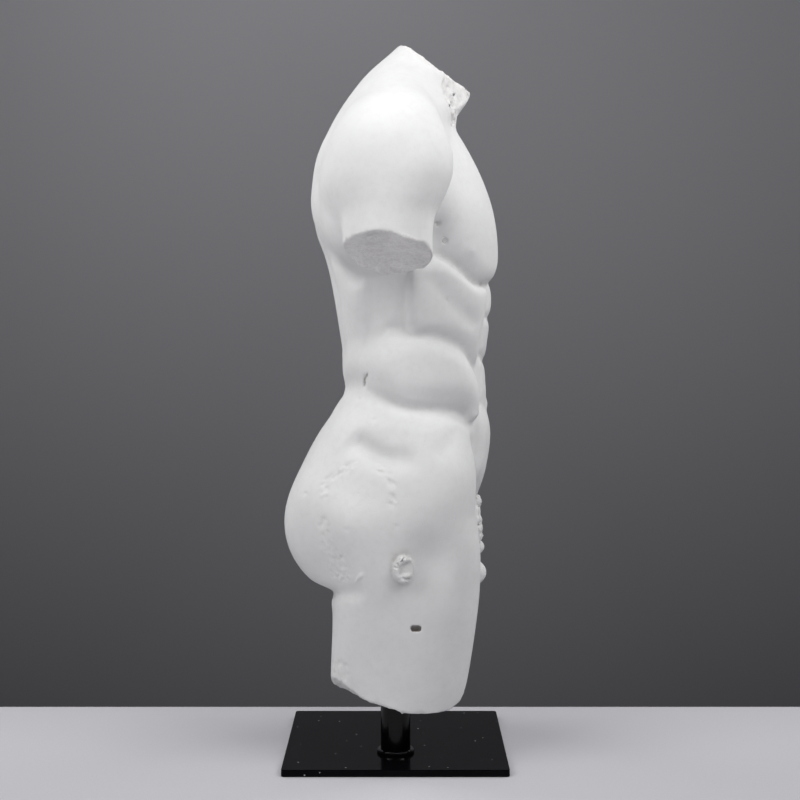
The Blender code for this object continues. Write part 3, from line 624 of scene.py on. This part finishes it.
@functools.cache
def wear_map():
    """Height of the scars, cracks and pits, on the same map's right side."""
    u, shape = map_points()
    h = np.zeros(len(u))
    for width, depth, points in CRACKS:
        h += groove(u, points, width, depth)
    scarred = marked(u, SCARS)
    near = scarred > 0.02
    flat = np.column_stack([u[near], np.zeros(near.sum())])
    rough = SCAR_ROUGHNESS * rubble(flat, SCAR_SIZE, SCAR_SEED)
    h[near] = scarred[near] * (rough - SCAR_DEPTH)
    for degrees, height, wide, tall, depth in PITS:
        h += swell(u, degrees, height, wide, tall, -depth)
    return h.reshape(shape)[::-1]


def relief(s, heights):
    """Height that a map lays on the skin, a straight blend of the four points round each place."""
    u = np.clip(chart(s) + (MAP_GIRTH, -MAP_LOW), 0, np.array(heights.shape) - 1.001)
    i, j = u.astype(int).T
    a, b = (u - np.floor(u)).T
    return ((1 - a) * (1 - b) * heights[i, j] + a * (1 - b) * heights[i + 1, j]
            + (1 - a) * b * heights[i, j + 1] + a * b * heights[i + 1, j + 1])


def limb(p, sections, top, cut):
    """An arm or a thigh: a column that starts inside the body and ends at its rough break."""
    whole = blend_max(column(p, sections), p[:, 2] - top, k=30)
    return blend_max(whole, cut, k=1.5)


def arm_break(p, height, back_rise, left_rise, centre):
    """The slanting plane that an arm is broken along: how far each point lies below it."""
    plane = height + back_rise * (p[:, 1] - centre[1]) + left_rise * (p[:, 0] - centre[0])
    return (plane - p[:, 2]) / math.sqrt(1 + back_rise ** 2 + left_rise ** 2)


def thigh_break(p):
    """The standing thigh's underside: level round the post, rising behind and more so on the outer
    side, where its corner is split off, and curling up as a parabola in front."""
    x, y, z = p.T
    behind = np.maximum(y - BREAK_LEVEL_BACK, 0)
    front = np.maximum(BREAK_LEVEL_FRONT - y, 0)
    rise = BREAK_RISE * (1 + ease(x, *BREAK_OUTER))
    height = BREAK_Z + rise * behind + BREAK_CURL * front ** 2
    steep = (2 * BREAK_CURL * front) ** 2 + np.where(behind > 0, BREAK_STEEP, 0)
    out, back, up = SPLIT_POINT
    split = up + SPLIT_OUT * (x - out) + SPLIT_BACK * (y - back) - z
    split = split / math.sqrt(1 + SPLIT_OUT ** 2 + SPLIT_BACK ** 2)
    return blend_max((height - z) / np.sqrt(1 + steep), split, k=3)


def shoulder_fillet(p, shrug):
    """Fillet of an arm: wide over the shoulder and behind it, narrow at the armpit and in front."""
    y, z = p[:, 1], p[:, 2] - shrug
    above = ease(z, 600, 700) * ease(y, -60, 10)
    behind = ease(z, 585, 650) * ease(y, -25, 60)
    top = ease(z, 675, 735)
    return np.interp(1 - (1 - above) * (1 - behind) * (1 - top), (0, 1), ARM_FILLET)


def arms(p):
    """Which points belong to the right arm, and which to the left."""
    high = p[:, 2] > ARM_LOW
    return high & (p[:, 0] < -ARM_OUT), high & (p[:, 0] > ARM_OUT)


def neck_break(p):
    """The oblique plane that the neck is broken along: how far each point lies above it."""
    neck = p[:, 2] - NECK_FRONT_Z - NECK_SLOPE * (p[:, 1] - NECK_FRONT_Y) - NECK_TILT * p[:, 0]
    return neck / math.sqrt(1 + NECK_SLOPE ** 2 + NECK_TILT ** 2)


def oval(across, up, half):
    """About how far a point lies outside an oval: its scaled radius less 1, times the half width."""
    return (np.hypot(across / half[0], up / half[1]) - 1) * half[0]


def carved_marks(p, d):
    """Adds the strut's broken end with its hollow, open to the front, and cuts the peg hole."""
    x, y, z = (p - STRUT_END).T
    near = (p[:, 0] < MARKS_OUT) & (np.abs(y) < MARKS_WIDTH)
    near &= (p[:, 2] > MARKS_LOW) & (p[:, 2] < MARKS_HIGH)
    q, x, y, z = p[near], x[near], y[near], z[near]
    stub = roughened(q, blend_max(oval(y, z, STRUT_HALF), -x, k=3), *STRUT_ROUGHNESS)
    solid = blend_min(d[near], stub, k=4)
    bore = blend_max(oval(y + HOLLOW_FORWARD, z, HOLLOW_HALF), x - HOLLOW_DEPTH, k=3)
    bore = blend_max(bore, -oval(z - TONGUE[1], y - TONGUE[0], TONGUE_HALF), k=2)
    solid = blend_max(solid, -bore, k=2)
    x, y, z = (q - PEG_HOLE).T
    hole = blend_max(np.abs(y) - PEG_HALF[0], np.abs(z) - PEG_HALF[1], k=4)
    hole = roughened(q, blend_max(hole, x - PEG_DEPTH, k=3), *PEG_ROUGHNESS)
    d[near] = blend_max(solid, -hole, k=1.6)
    return d


def cleft(s):
    """Depth of the groove between the buttocks: a bell curve across, fading out forwards, at the
    small of the back and at the thighs."""
    behind = ease(s[:, 1], 20, 70) * ease(s[:, 2], 350, 290) * ease(s[:, 2], 165, 190)
    return CLEFT_DEPTH * np.exp(-(s[:, 0] / CLEFT_WIDTH) ** 2) * behind


def torso(p):
    """Distance to the whole torso."""
    s = stance(p)
    mirrored = np.stack([np.abs(s[:, 0]), s[:, 1], s[:, 2]], 1)
    d = blend_max(column(s, TRUNK), CROTCH_Z - s[:, 2], k=15)
    for centre, radii, lean, k in MASSES.values():
        d = blend_min(d, ellipsoid(mirrored, centre, radii, lean), k)
    cut = roughened(p, thigh_break(p), *THIGH_RIGHT_ROUGHNESS)
    cut = roughened(p, cut, *THIGH_RIGHT_SPALLS)
    d = blend_min(d, limb(p, THIGH_RIGHT, THIGH_TOP, cut), k=16)
    cut = THIGH_LEFT_Z + THIGH_LEFT_RISE * p[:, 1] - p[:, 2]
    cut = roughened(p, cut, *THIGH_LEFT_ROUGHNESS)
    d = blend_min(d, limb(p, THIGH_LEFT, THIGH_TOP, cut), k=12)
    near = np.abs(d) < RELIEF_REACH
    d[near] -= relief(s[near], relief_map()) * ease(np.abs(d[near]), RELIEF_REACH, RELIEF_FULL)
    near = (np.abs(d) < WEAR_REACH) & (s[:, 0] < WORN_SIDE) & ~arms(p)[0]
    d[near] -= relief(s[near], wear_map())
    for sections, ball, cut, shrug in ARMS.values():
        arm = limb(p, sections, ARM_TOP + shrug, chiselled(p, arm_break(p, *cut)))
        arm = blend_min(arm, ellipsoid(p, *ball), k=20)
        d = blend_min(d, arm, shoulder_fillet(p, shrug))
    for centre, radii, k in SEX.values():
        d = blend_min(d, ellipsoid(s, centre, radii), k)
    d = curled(s, d) + cleft(s)
    d = blend_max(d, roughened(p, neck_break(p), *NECK_ROUGHNESS), k=5)
    for chip in CHIPS:
        d = blend_max(d, struck(p, *chip), k=1.2)
    for patch in WORN:
        d = d + pebbled(p, d, *patch)
    return carved_marks(p, d)


# ---- the skin: a net of quads over the surface ----


def unpinched(values, small):
    """Fills a grid corner wherever a grid face has its two inside corners on a diagonal, so that
    no two sheets of the net share an edge."""
    for axis in (0, 1, 2) * 6:
        v = np.moveaxis(values, axis, 2)
        a, b, c, d = (side < 0 for side in (v[:-1, :-1], v[1:, :-1], v[1:, 1:], v[:-1, 1:]))
        for i, j, k in np.argwhere((a == c) & (b == d) & (a != b)):
            outside = ((i, j), (i + 1, j + 1)) if v[i, j, k] >= 0 else ((i + 1, j), (i, j + 1))
            i, j = min(outside, key=lambda ij: v[ij[0], ij[1], k])
            v[i, j, k] = -small
    return values


def spread(f, p):
    """f over many points, in four parts that run side by side."""
    with ThreadPoolExecutor(4) as pool:
        return np.concatenate(list(pool.map(f, np.array_split(p, 4))))


def skin(f, low, high, step):
    """Surface net: one point in each grid cell that the surface crosses, at the mean of its
    crossings, and one quad across each grid edge that it crosses."""
    n = np.ceil(np.subtract(high, low) / step).astype(int) + 1
    grid = low + step * np.indices(n).reshape(3, -1).T
    values = unpinched(spread(f, grid).reshape(n), 0.05 * step)
    sums = np.zeros((*(n - 1), 3))
    count = np.zeros(n - 1)
    unit = np.eye(3, dtype=int)

    def corner(offset):
        return values[tuple(slice(o, size - 1 + o) for o, size in zip(offset, n))]

    for offset in np.ndindex(2, 2, 2):
        for axis in range(3):
            if offset[axis]:
                continue
            a, b = corner(offset), corner(offset + unit[axis])
            crossed = (a < 0) != (b < 0)
            t = a / np.where(crossed, a - b, 1)
            place = offset + unit[axis] * t[..., None]
            sums += np.where(crossed[..., None], place, 0)
            count += crossed
    cells = np.argwhere(count > 0)
    index = -np.ones(n - 1, int)
    index[tuple(cells.T)] = np.arange(len(cells))
    middle = sums[tuple(cells.T)] / count[tuple(cells.T)][:, None]
    points = low + step * (cells + middle)
    quads = []
    for axis in range(3):
        u, v = (axis + 1) % 3, (axis + 2) % 3
        inside = np.moveaxis(values < 0, axis, 0)
        edges = np.argwhere(inside[:-1] != inside[1:])
        edges = np.insert(edges[:, 1:], axis, edges[:, 0], axis=1)
        inner = (edges[:, [u, v]] > 0) & (edges[:, [u, v]] < n[[u, v]] - 1)
        edges = edges[inner.all(1)]
        ring = [edges - unit[u] - unit[v], edges - unit[v], edges, edges - unit[u]]
        quad = np.stack([index[tuple(r.T)] for r in ring], 1)
        outward = values[tuple(edges.T)] < 0
        quad[~outward] = quad[~outward][:, ::-1]
        quads.append(quad)
    return points, np.concatenate(quads)


def gradient(f, p, e=0.4):
    """Slope of f at p, from four points of a small tetrahedron."""
    ways = np.array([[1, -1, -1], [-1, -1, 1], [-1, 1, -1], [1, 1, 1]], float)
    return sum(way * spread(f, p + e * way)[:, None] for way in ways) / (4 * e)


def settle(f, p, rounds, most):
    """Moves points onto the surface f = 0 by Newton steps of at most a given length, each along
    the slope found at the start."""
    g = gradient(f, p)
    steep = np.maximum((g * g).sum(1), 0.05)
    for _ in range(rounds):
        move = -(spread(f, p) / steep)[:, None] * g
        length = np.linalg.norm(move, axis=1, keepdims=True)
        p = p + move * np.minimum(1, most / np.maximum(length, 1e-9))
    return p


def finer(points, faces, chosen):
    """Halves the net's edges wherever both ends are chosen."""
    mesh = bpy.data.meshes.new("net")
    mesh.from_pydata(points.tolist(), [], faces)
    net = bmesh.new()
    net.from_mesh(mesh)
    bpy.data.meshes.remove(mesh)
    edges = [e for e in net.edges if chosen[e.verts[0].index] and chosen[e.verts[1].index]]
    bmesh.ops.subdivide_edges(net, edges=edges, cuts=1, use_grid_fill=True, use_single_edge=True)
    net.verts.index_update()
    points = np.array([v.co for v in net.verts])
    faces = [[v.index for v in face.verts] for face in net.faces]
    net.free()
    return points, faces


# ---- where the stone is broken or carved, and how deep it lies in a fold, for painted shade ----


def right_chart(p):
    """The chart of the figure's right side, with its girth counted up from the front."""
    return chart(stance(p)) * (-1, 1)


def in_pits(u, deeper_than):
    """Which chart points lie in or round a pit, out to 2.5 times its radius."""
    here = np.zeros(len(u), bool)
    for degrees, height, wide, tall, depth in PITS:
        away = u - (math.radians(degrees) * GIRTH, height)
        if depth > deeper_than:
            here |= np.hypot(*away.T) < 2.5 * max(wide, tall)
    return here


def chipped(p, chip, reach):
    """How far each point lies on a chip's flat, from 0 outside it to 1 on it."""
    point, facing, centre, radii, _ = chip
    share = ease(beyond(p, point, facing), -reach, 0.5 - reach)
    return share * (ellipsoid(p, centre, radii) < reach)


def outside_breaks(p):
    """How far each point lies outside the neck's break, or outside its arm's."""
    out = neck_break(p)
    for arm, (_, _, cut, _) in zip(arms(p), ARMS.values()):
        out = np.where(arm, np.maximum(out, arm_break(p, *cut)), out)
    return out


def carved(p, reach=4):
    """Which points lie within reach of the strut's end or the peg hole, or in a crack or a deep
    pit."""
    u = right_chart(p)
    cracks = [(2.5 * width, 1, points) for width, _, points in CRACKS]
    here = (marked(u, cracks) > 0.3) | in_pits(u, deeper_than=3)
    for centre, half in ((STRUT_END, STRUT_HALF), (PEG_HOLE, PEG_HALF)):
        wide = np.abs(p[:, 1] - centre[1]) < half[0] + reach
        tall = np.abs(p[:, 2] - centre[2]) < half[1] + reach
        here |= wide & tall & (p[:, 0] < MARKS_OUT)
    return here


def busy(p, break_depth=7, thigh_depth=6):
    """Which points lie where the stone is broken, scarred or curled, and need a finer net."""
    here = (marked(right_chart(p), SCARS) > 0.05) | in_pits(right_chart(p), deeper_than=0)
    here |= outside_breaks(p) > -break_depth
    here |= (p[:, 0] < 10) & (thigh_break(p) > -thigh_depth)
    here |= in_space(stance(p), 36, front=-80, bottom=205, top=298) | carved(p, reach=10)
    for chip in CHIPS:
        here |= chipped(p, chip, reach=4) > 0
    for centre, radii, _ in WORN:
        here |= ellipsoid(p, centre, radii) < 2
    return here


def broken_share(p, worked=-2.5, fresh=-0.5, thigh=0.6, chip=0.7, worn=0.4, scar=0.3):
    """How freshly broken the stone looks at each point: 0 on the worked skin, 1 at the neck's and
    the arms' breaks, and the given shares of it elsewhere."""
    share = ease(outside_breaks(p), worked, fresh)
    outside = (p[:, 0] < 10) * ease(thigh_break(p), worked, fresh)
    share = np.maximum(share, thigh * outside)
    for flat in CHIPS:
        share = np.maximum(share, chip * chipped(p, flat, reach=1.5))
    for centre, radii, _ in WORN:
        share = np.maximum(share, worn * ease(ellipsoid(p, centre, radii), 0, -6))
    return np.maximum(share, scar * np.clip(marked(right_chart(p), SCARS), 0, 1))


def fold_shade_share(p):
    """How deep each point lies in a fold, which sets the painted shade there: how much nearer than the
    fold's reach the stone is to a place that far off the skin."""
    g = gradient(torso, p)
    g /= np.maximum(np.linalg.norm(g, axis=1, keepdims=True), 1e-6)
    return np.clip(1 - spread(torso, p + FOLD_SHADE_REACH * g) / FOLD_SHADE_REACH, 0, 1)


# ---- materials ----


def linear(code):
    """A colour written in sRGB hex as linear values, with full opacity."""
    parts = [int(code[i:i + 2], 16) / 255 for i in (1, 3, 5)]
    return [*(c / 12.92 if c <= 0.04045 else ((c + 0.055) / 1.055) ** 2.4 for c in parts), 1]


def give(tree, socket, value):
    """Gives an input a value, a socket, or a node, which stands for its first output in use."""
    if isinstance(value, bpy.types.Node):
        value = next(s for s in value.outputs if s.enabled)
    if isinstance(value, bpy.types.NodeSocket):
        tree.links.new(value, socket)
    else:
        socket.default_value = value


def add_node(tree, kind, *places, **named):
    """Adds a shader node. A name in lower case is a setting and one with a capital is an input,
    with _ for a space. What has no name goes to the inputs in their order."""
    made = tree.nodes.new("ShaderNode" + kind)
    for name in [*filter(str.islower, named)]:
        setattr(made, name, named.pop(name))
    in_use = [socket for socket in made.inputs if socket.enabled]
    by_name = {socket.name.replace(" ", "_"): socket for socket in in_use}
    for socket, value in (*zip(in_use, places), *((by_name[n], v) for n, v in named.items())):
        give(tree, socket, value)
    return made


def blank_material(name):
    """A new material, the function that adds a node to it, and the place on the piece."""
    made = bpy.data.materials.new(name)
    made.use_nodes = True
    node = functools.partial(add_node, made.node_tree)
    return made, node, node("TexCoord").outputs["Object"]


def finish_material(made, colour, roughness, height, strength, depth, gloss=0.5):
    """Gives the shader a colour, a roughness, a gloss and a bump of the given depth."""
    tree = made.node_tree
    shader = tree.nodes["Principled BSDF"]
    bump = add_node(tree, "Bump", Height=height, Strength=strength, Distance=depth)
    given = {"Base Color": colour, "Roughness": roughness, "Normal": bump, "Specular IOR Level": gloss}
    for name, value in given.items():
        give(tree, shader.inputs[name], value)
    return made


def mottled(node, colour, where, size, low, high, tint, detail=3, roughness=0.6, most=1):
    """Lays patches of a tint, some mm across, over a colour where noise rises from low to high."""
    patches = node("TexNoise", Vector=where, Scale=1 / (size * MM), Detail=detail,
                   Roughness=roughness)
    patches = node("MapRange", Value=patches, From_Min=low, From_Max=high, To_Max=most)
    return node("Mix", Factor=patches, A=colour, B=linear(tint), data_type="RGBA")


def marble_material(settings):
    """Cast marble: marble powder and binder, cast in a mould and rubbed matt. It is an even, very
    slightly clouded white. Its folds are painted darker and warmer, which is painted shade. Where it
    is broken it is coarser and near white with greyer streaks: the broken stone's own tooth, with
    painted light and painted shade. It has a few pinholes left by air."""
    made, node, where = blank_material("Cast marble, rubbed matt")
    # broken: the broken stone's share, whose colour below holds painted light and painted shade.
    # hollow: how deep a point lies in a fold, which paints shade into the colour.
    broken = node("Attribute", attribute_name="broken").outputs["Fac"]
    hollow = node("Attribute", attribute_name="hollow").outputs["Fac"]
    # Clouds a hand's width across.
    colour = [*settings.marble_colour, 1]
    colour = mottled(node, colour, where, 80, 0.35, 0.65, "#E8E8E8", roughness=0.5)
    # Faint spots the size of a lentil, from the filler.
    colour = mottled(node, colour, where, 7, 0.45, 0.75, "#DCDAD8", most=0.25)
    # Painted shade: darker and warmer in the folds, and far more so in the holes, by the square of how
    # deep a point lies in them.
    dust = node("Math", hollow, 2, operation="POWER")
    colour = node("Mix", Factor=dust, A=colour, B=linear("#A39E98"), data_type="RGBA")
    # Broken stone is near white: partly the fresh stone's own colour, partly painted light, raised to
    # brighten breaks that face down. It shows its coarse filler, 2 to 3 mm across.
    fresh = linear("#F8F7F6")
    fresh = mottled(node, fresh, where, 2.6, 0.35, 0.7, "#E9E7E5", roughness=0.7)
    # Darker streaks across the break, drawn out along one way, 3 mm wide: painted shade standing for
    # facets turned from the light.
    along = node("Mapping", Vector=where, Rotation=(0.35, 0, 0), Scale=(1, 0.5, 1))
    fresh = mottled(node, fresh, along, 3, 0.5, 0.7, "#C6C3C1", most=0.3)
    colour = node("Mix", Factor=broken, A=colour, B=fresh, data_type="RGBA")
    # Rubbed a little more or less, in patches 12 mm across.
    rough = node("TexNoise", Vector=where, Scale=1 / (12 * MM))
    rough = node("MapRange", Value=rough, From_Min=0.3, From_Max=0.7, To_Min=0.56, To_Max=0.72)
    # Height: the tooth of rubbed stone, which is finer and is drawn 1.6 mm across so that it shows,
    # pinholes 9 mm apart, and grit on the broken faces.
    tooth = node("TexNoise", Vector=where, Scale=1 / (1.6 * MM), Detail=3)
    pinholes = node("TexVoronoi", Vector=where, Scale=1 / (9 * MM))
    pinholes = node("MapRange", Value=pinholes, From_Min=0.03, From_Max=0.10)
    grit = node("TexNoise", Vector=where, Scale=1 / (3 * MM), Detail=4, Roughness=0.75)
    grit = node("Math", grit, broken, operation="MULTIPLY")
    height = node("Math", tooth, 0.5, pinholes, operation="MULTIPLY_ADD")
    height = node("Math", grit, 1.4, height, operation="MULTIPLY_ADD")
    return finish_material(made, colour, rough, height, 0.5, 0.25 * MM, gloss=0.35)


def enamel_material(name, dust, gloss, tooth):
    """Black stoving enamel sprayed on steel: a deep, smooth gloss with a little orange peel, and
    specks and a haze of settled dust where it lies flat."""
    made, node, where = blank_material(name)
    # Haze in patches 45 mm across.
    colour = linear("#070709")
    colour = mottled(node, colour, where, 45, 0.4, 0.75, "#161619", detail=4, most=0.2 * dust)
    # Grains of dust up to 1.8 mm across, one to a cell of 14 mm, of which the surface meets few.
    cells = node("TexVoronoi", Vector=where, Scale=1 / (14 * MM))
    grains = node("Math", cells.outputs["Distance"], 0.065, operation="LESS_THAN")
    grains = node("Math", grains, dust, operation="MULTIPLY")
    colour = node("Mix", Factor=grains, A=colour, B=linear("#A4A4A6"), data_type="RGBA")
    # Polished a little more or less, in patches 30 mm across.
    rough = node("TexNoise", Vector=where, Scale=1 / (30 * MM), Detail=3)
    rough = node("MapRange", Value=rough, From_Min=0.3, From_Max=0.7, To_Min=0.7 * tooth,
                 To_Max=1.3 * tooth)
    # Orange peel, which is finer and is drawn 5 mm from crest to crest so that it shows.
    peel = node("TexNoise", Vector=where, Scale=1 / (5 * MM), Detail=1)
    return finish_material(made, colour, rough, peel, 0.15, 0.05 * MM, gloss)


def board_material():
    """Lacquered board: a matt sprayed lacquer, an even pale grey with a faint tooth, which is
    finer and is drawn 3 mm across so that it shows."""
    made, node, where = blank_material("Matt lacquered board")
    tooth = node("TexNoise", Vector=where, Scale=1 / (3 * MM))
    colour = node("Mix", Factor=tooth, A=linear("#DAD9DE"), B=linear("#D3D2D7"), data_type="RGBA")
    rough = node("MapRange", Value=tooth, To_Min=0.5, To_Max=0.6)
    return finish_material(made, colour, rough, tooth, 0.2, 0.05 * MM)


def backdrop_material():
    """Grey paper, lighter at its top and darker towards its foot in an even, dull gradient of painted
    light and shade. The fibres are finer and are drawn 4 mm apart so that they show."""
    made, node, where = blank_material("Grey paper with painted shade")
    # The colour runs from dark at the foot to near white at the top: painted light and shade.
    height = node("SeparateXYZ", where).outputs["Z"]
    height = node("MapRange", Value=height, From_Min=-0.9, From_Max=1.4)
    colour = node("Mix", Factor=height, A=linear("#94949A"), B=linear("#FAFAFF"), data_type="RGBA")
    fibre = node("TexNoise", Vector=where, Scale=1 / (4 * MM))
    rough = node("MapRange", Value=fibre, To_Min=0.85, To_Max=0.95)
    return finish_material(made, colour, rough, fibre, 0.1, 0.05 * MM)


# ---- the stand and the stage ----

# Each steel node's dust, gloss and roughness. The collar is polished by its turning.
FINISHES = (("base_plate", 1.0, 0.05, 0.14), ("post", 0.2, 0.2, 0.14), ("collar", 0.0, 1.0, 0.05))

# In metres: two corners of the table's top and of the backdrop, and how far their edges are eased.
TABLE = (-2.6, -2.4, -0.04), (0.176, 2.4, 0)
BACKDROP = (2.6, -5, -2.5), (2.64, 5, 4)
SLAB_EDGE = 0.002
ROOM_COLOUR = "#242427"
# Each lamp: where it hangs, what it faces, its power, and whether it shows in the enamel.
FIGURE = (0, 0, 0.6)
LAMPS = {
    "high left": ((-0.7, 0.8, 1.25), FIGURE, 5.5, True),
    "high right": ((-0.7, -0.8, 1.25), FIGURE, 7.9, True),
    "low left": ((-0.9, 1.1, 0.9), FIGURE, 3.9, False),
    "above": ((-0.5, 0, 1.2), FIGURE, 2.1, False),
    "behind left": ((0.5, 0.9, 1.2), FIGURE, 5.9, False),
    "behind right": ((0.5, -0.9, 1.2), FIGURE, 6.2, False),
    "on the backdrop": ((1.3, 0.3, 1.9), (2.6, 0.6, 0.9), 1.6, False),
}
LAMP_SIDE = 0.7
# The camera looks along +X, dipped by some degrees.
CAMERA_PLACE, CAMERA_DIP = (-1.784, -0.005, 0.509), 3.36


def slab(name, corners, made_of):
    """A box between two corners, with its edges eased."""
    x, y, z = np.transpose(corners)
    points = [(x[i], y[j], z[k]) for i, j, k in np.ndindex(2, 2, 2)]
    sides = [(0, 1, 3, 2), (4, 6, 7, 5), (0, 4, 5, 1), (2, 3, 7, 6), (0, 2, 6, 4), (1, 5, 7, 3)]
    mesh = bpy.data.meshes.new(name)
    mesh.from_pydata(points, [], sides)
    mesh.materials.append(made_of)
    made = bpy.data.objects.new(name, mesh)
    bpy.context.collection.objects.link(made)
    eased = made.modifiers.new("eased", "BEVEL")
    eased.width = SLAB_EDGE
    eased.segments = 2
    return made


def hang_lamp(name, place, target, power, glossy):
    """A square soft light that faces a target, and shows in the enamel if glossy."""
    lamp = bpy.data.lights.new(name, "AREA")
    lamp.size = LAMP_SIDE
    lamp.energy = power
    hung = bpy.data.objects.new(name, lamp)
    hung.location = place
    hung.rotation_euler = (Vector(target) - Vector(place)).to_track_quat("-Z", "Y").to_euler()
    hung.visible_camera = False
    hung.visible_glossy = glossy
    bpy.context.collection.objects.link(hung)


# ---- settings, operators and panel ----


class StandSettings(bpy.types.PropertyGroup):
    """Sizes and colours that a user would change."""

    net_pitch: FloatProperty(
        name="Net pitch", description="Pitch of the first net over the torso, halved afterwards",
        default=0.0074, min=0.004, max=0.012, unit="LENGTH")
    marble_colour: FloatVectorProperty(
        name="Marble", description="Colour of the rubbed marble",
        default=linear("#F0F0F0")[:3], min=0, max=1, subtype="COLOR")
    light_level: FloatProperty(
        name="Light", description="Share of the lamps' full power",
        default=1.0, min=0, subtype="FACTOR")
    lens: FloatProperty(
        name="Lens", description="Focal length of the camera",
        default=0.06967, min=0.01, unit="CAMERA")


class TORSO_OT_skin(bpy.types.Operator):
    """Carves the torso's skin and stands it in place of the plain solid"""

    bl_idname = "torso.skin"
    bl_label = "Carve the torso"

    def execute(self, context):
        settings = context.scene.torso_settings
        points, quads = skin(torso, NET_LOW, NET_HIGH, settings.net_pitch / MM)
        points = settle(torso, points, rounds=3, most=3)
        points, faces = finer(points, quads.tolist(), np.ones(len(points), bool))
        points = settle(torso, points, rounds=2, most=2)
        for chosen in (busy, carved):
            points, faces = finer(points, faces, chosen(points))
            again = chosen(points)
            points[again] = settle(torso, points[again], rounds=3, most=2)
        mesh = bpy.data.meshes.new("carved_torso")
        inside = np.clip(points * MM, TORSO_BOX[0], TORSO_BOX[1])
        mesh.from_pydata(inside.tolist(), [], faces)
        mesh.shade_smooth()
        # hollow carries the painted shade of folds and holes; broken carries the broken stone's
        # colour, with its painted light and shade.
        for name, values in (("broken", broken_share(points)), ("hollow", fold_shade_share(points))):
            layer = mesh.attributes.new(name, "FLOAT", "POINT")
            layer.data.foreach_set("value", values.astype(np.float32))
        mesh.materials.append(marble_material(settings))
        piece = bpy.data.objects.new("carved_torso", mesh)
        context.collection.objects.link(piece)
        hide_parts("torso")
        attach(piece, BODY)
        return {"FINISHED"}


class TORSO_OT_stand(bpy.types.Operator):
    """Enamels the post, its collar and the plate"""

    bl_idname = "torso.stand"
    bl_label = "Enamel the stand"

    def execute(self, context):
        for name, dust, gloss, tooth in FINISHES:
            solid = frame["nodes"][name]
            title = f"Black stoving enamel on steel, {name.replace('_', ' ')}"
            solid.material_slots[0].material = enamel_material(title, dust, gloss, tooth)
        return {"FINISHED"}


class TORSO_OT_stage(bpy.types.Operator):
    """Lays the table and hangs the backdrop, the lights and the camera"""

    bl_idname = "torso.stage"
    bl_label = "Set the stage"

    def execute(self, context):
        settings = context.scene.torso_settings
        table = slab("table", TABLE, board_material())
        slab("backdrop", BACKDROP, backdrop_material())
        for name, (place, target, power, glossy) in LAMPS.items():
            hang_lamp(name, place, target, power * settings.light_level, glossy)
        room = bpy.data.worlds.new("room")
        room.use_nodes = True
        room.node_tree.nodes["Background"].inputs["Color"].default_value = linear(ROOM_COLOUR)
        context.scene.world = room
        lens = bpy.data.cameras.new("camera")
        lens.lens = settings.lens / MM
        camera = bpy.data.objects.new("camera", lens)
        context.collection.objects.link(camera)
        camera.location = CAMERA_PLACE
        camera.rotation_euler = (math.radians(90 - CAMERA_DIP), 0, math.radians(-90))
        context.scene.camera = camera
        context.scene.view_settings.view_transform = "Standard"
        return {"FINISHED"}


class TORSO_PT_panel(bpy.types.Panel):
    """The settings, and a button for each step"""

    bl_idname = "TORSO_PT_panel"
    bl_label = "Marble torso"
    bl_space_type = "VIEW_3D"
    bl_region_type = "UI"
    bl_category = "Torso"

    def draw(self, context):
        settings = context.scene.torso_settings
        for name in ("net_pitch", "marble_colour", "light_level", "lens"):
            self.layout.prop(settings, name)
        for operator in OPERATORS:
            self.layout.operator(operator.bl_idname)


OPERATORS = (TORSO_OT_skin, TORSO_OT_stand, TORSO_OT_stage)
CLASSES = (StandSettings, *OPERATORS, TORSO_PT_panel)


def register():
    for made in CLASSES:
        bpy.utils.register_class(made)
    bpy.types.Scene.torso_settings = PointerProperty(type=StandSettings)


def unregister():
    del bpy.types.Scene.torso_settings
    for made in reversed(CLASSES):
        bpy.utils.unregister_class(made)


def main():
    register()
    bpy.ops.torso.skin()
    bpy.ops.torso.stand()
    bpy.ops.torso.stage()


if __name__ == "__main__":
    main()
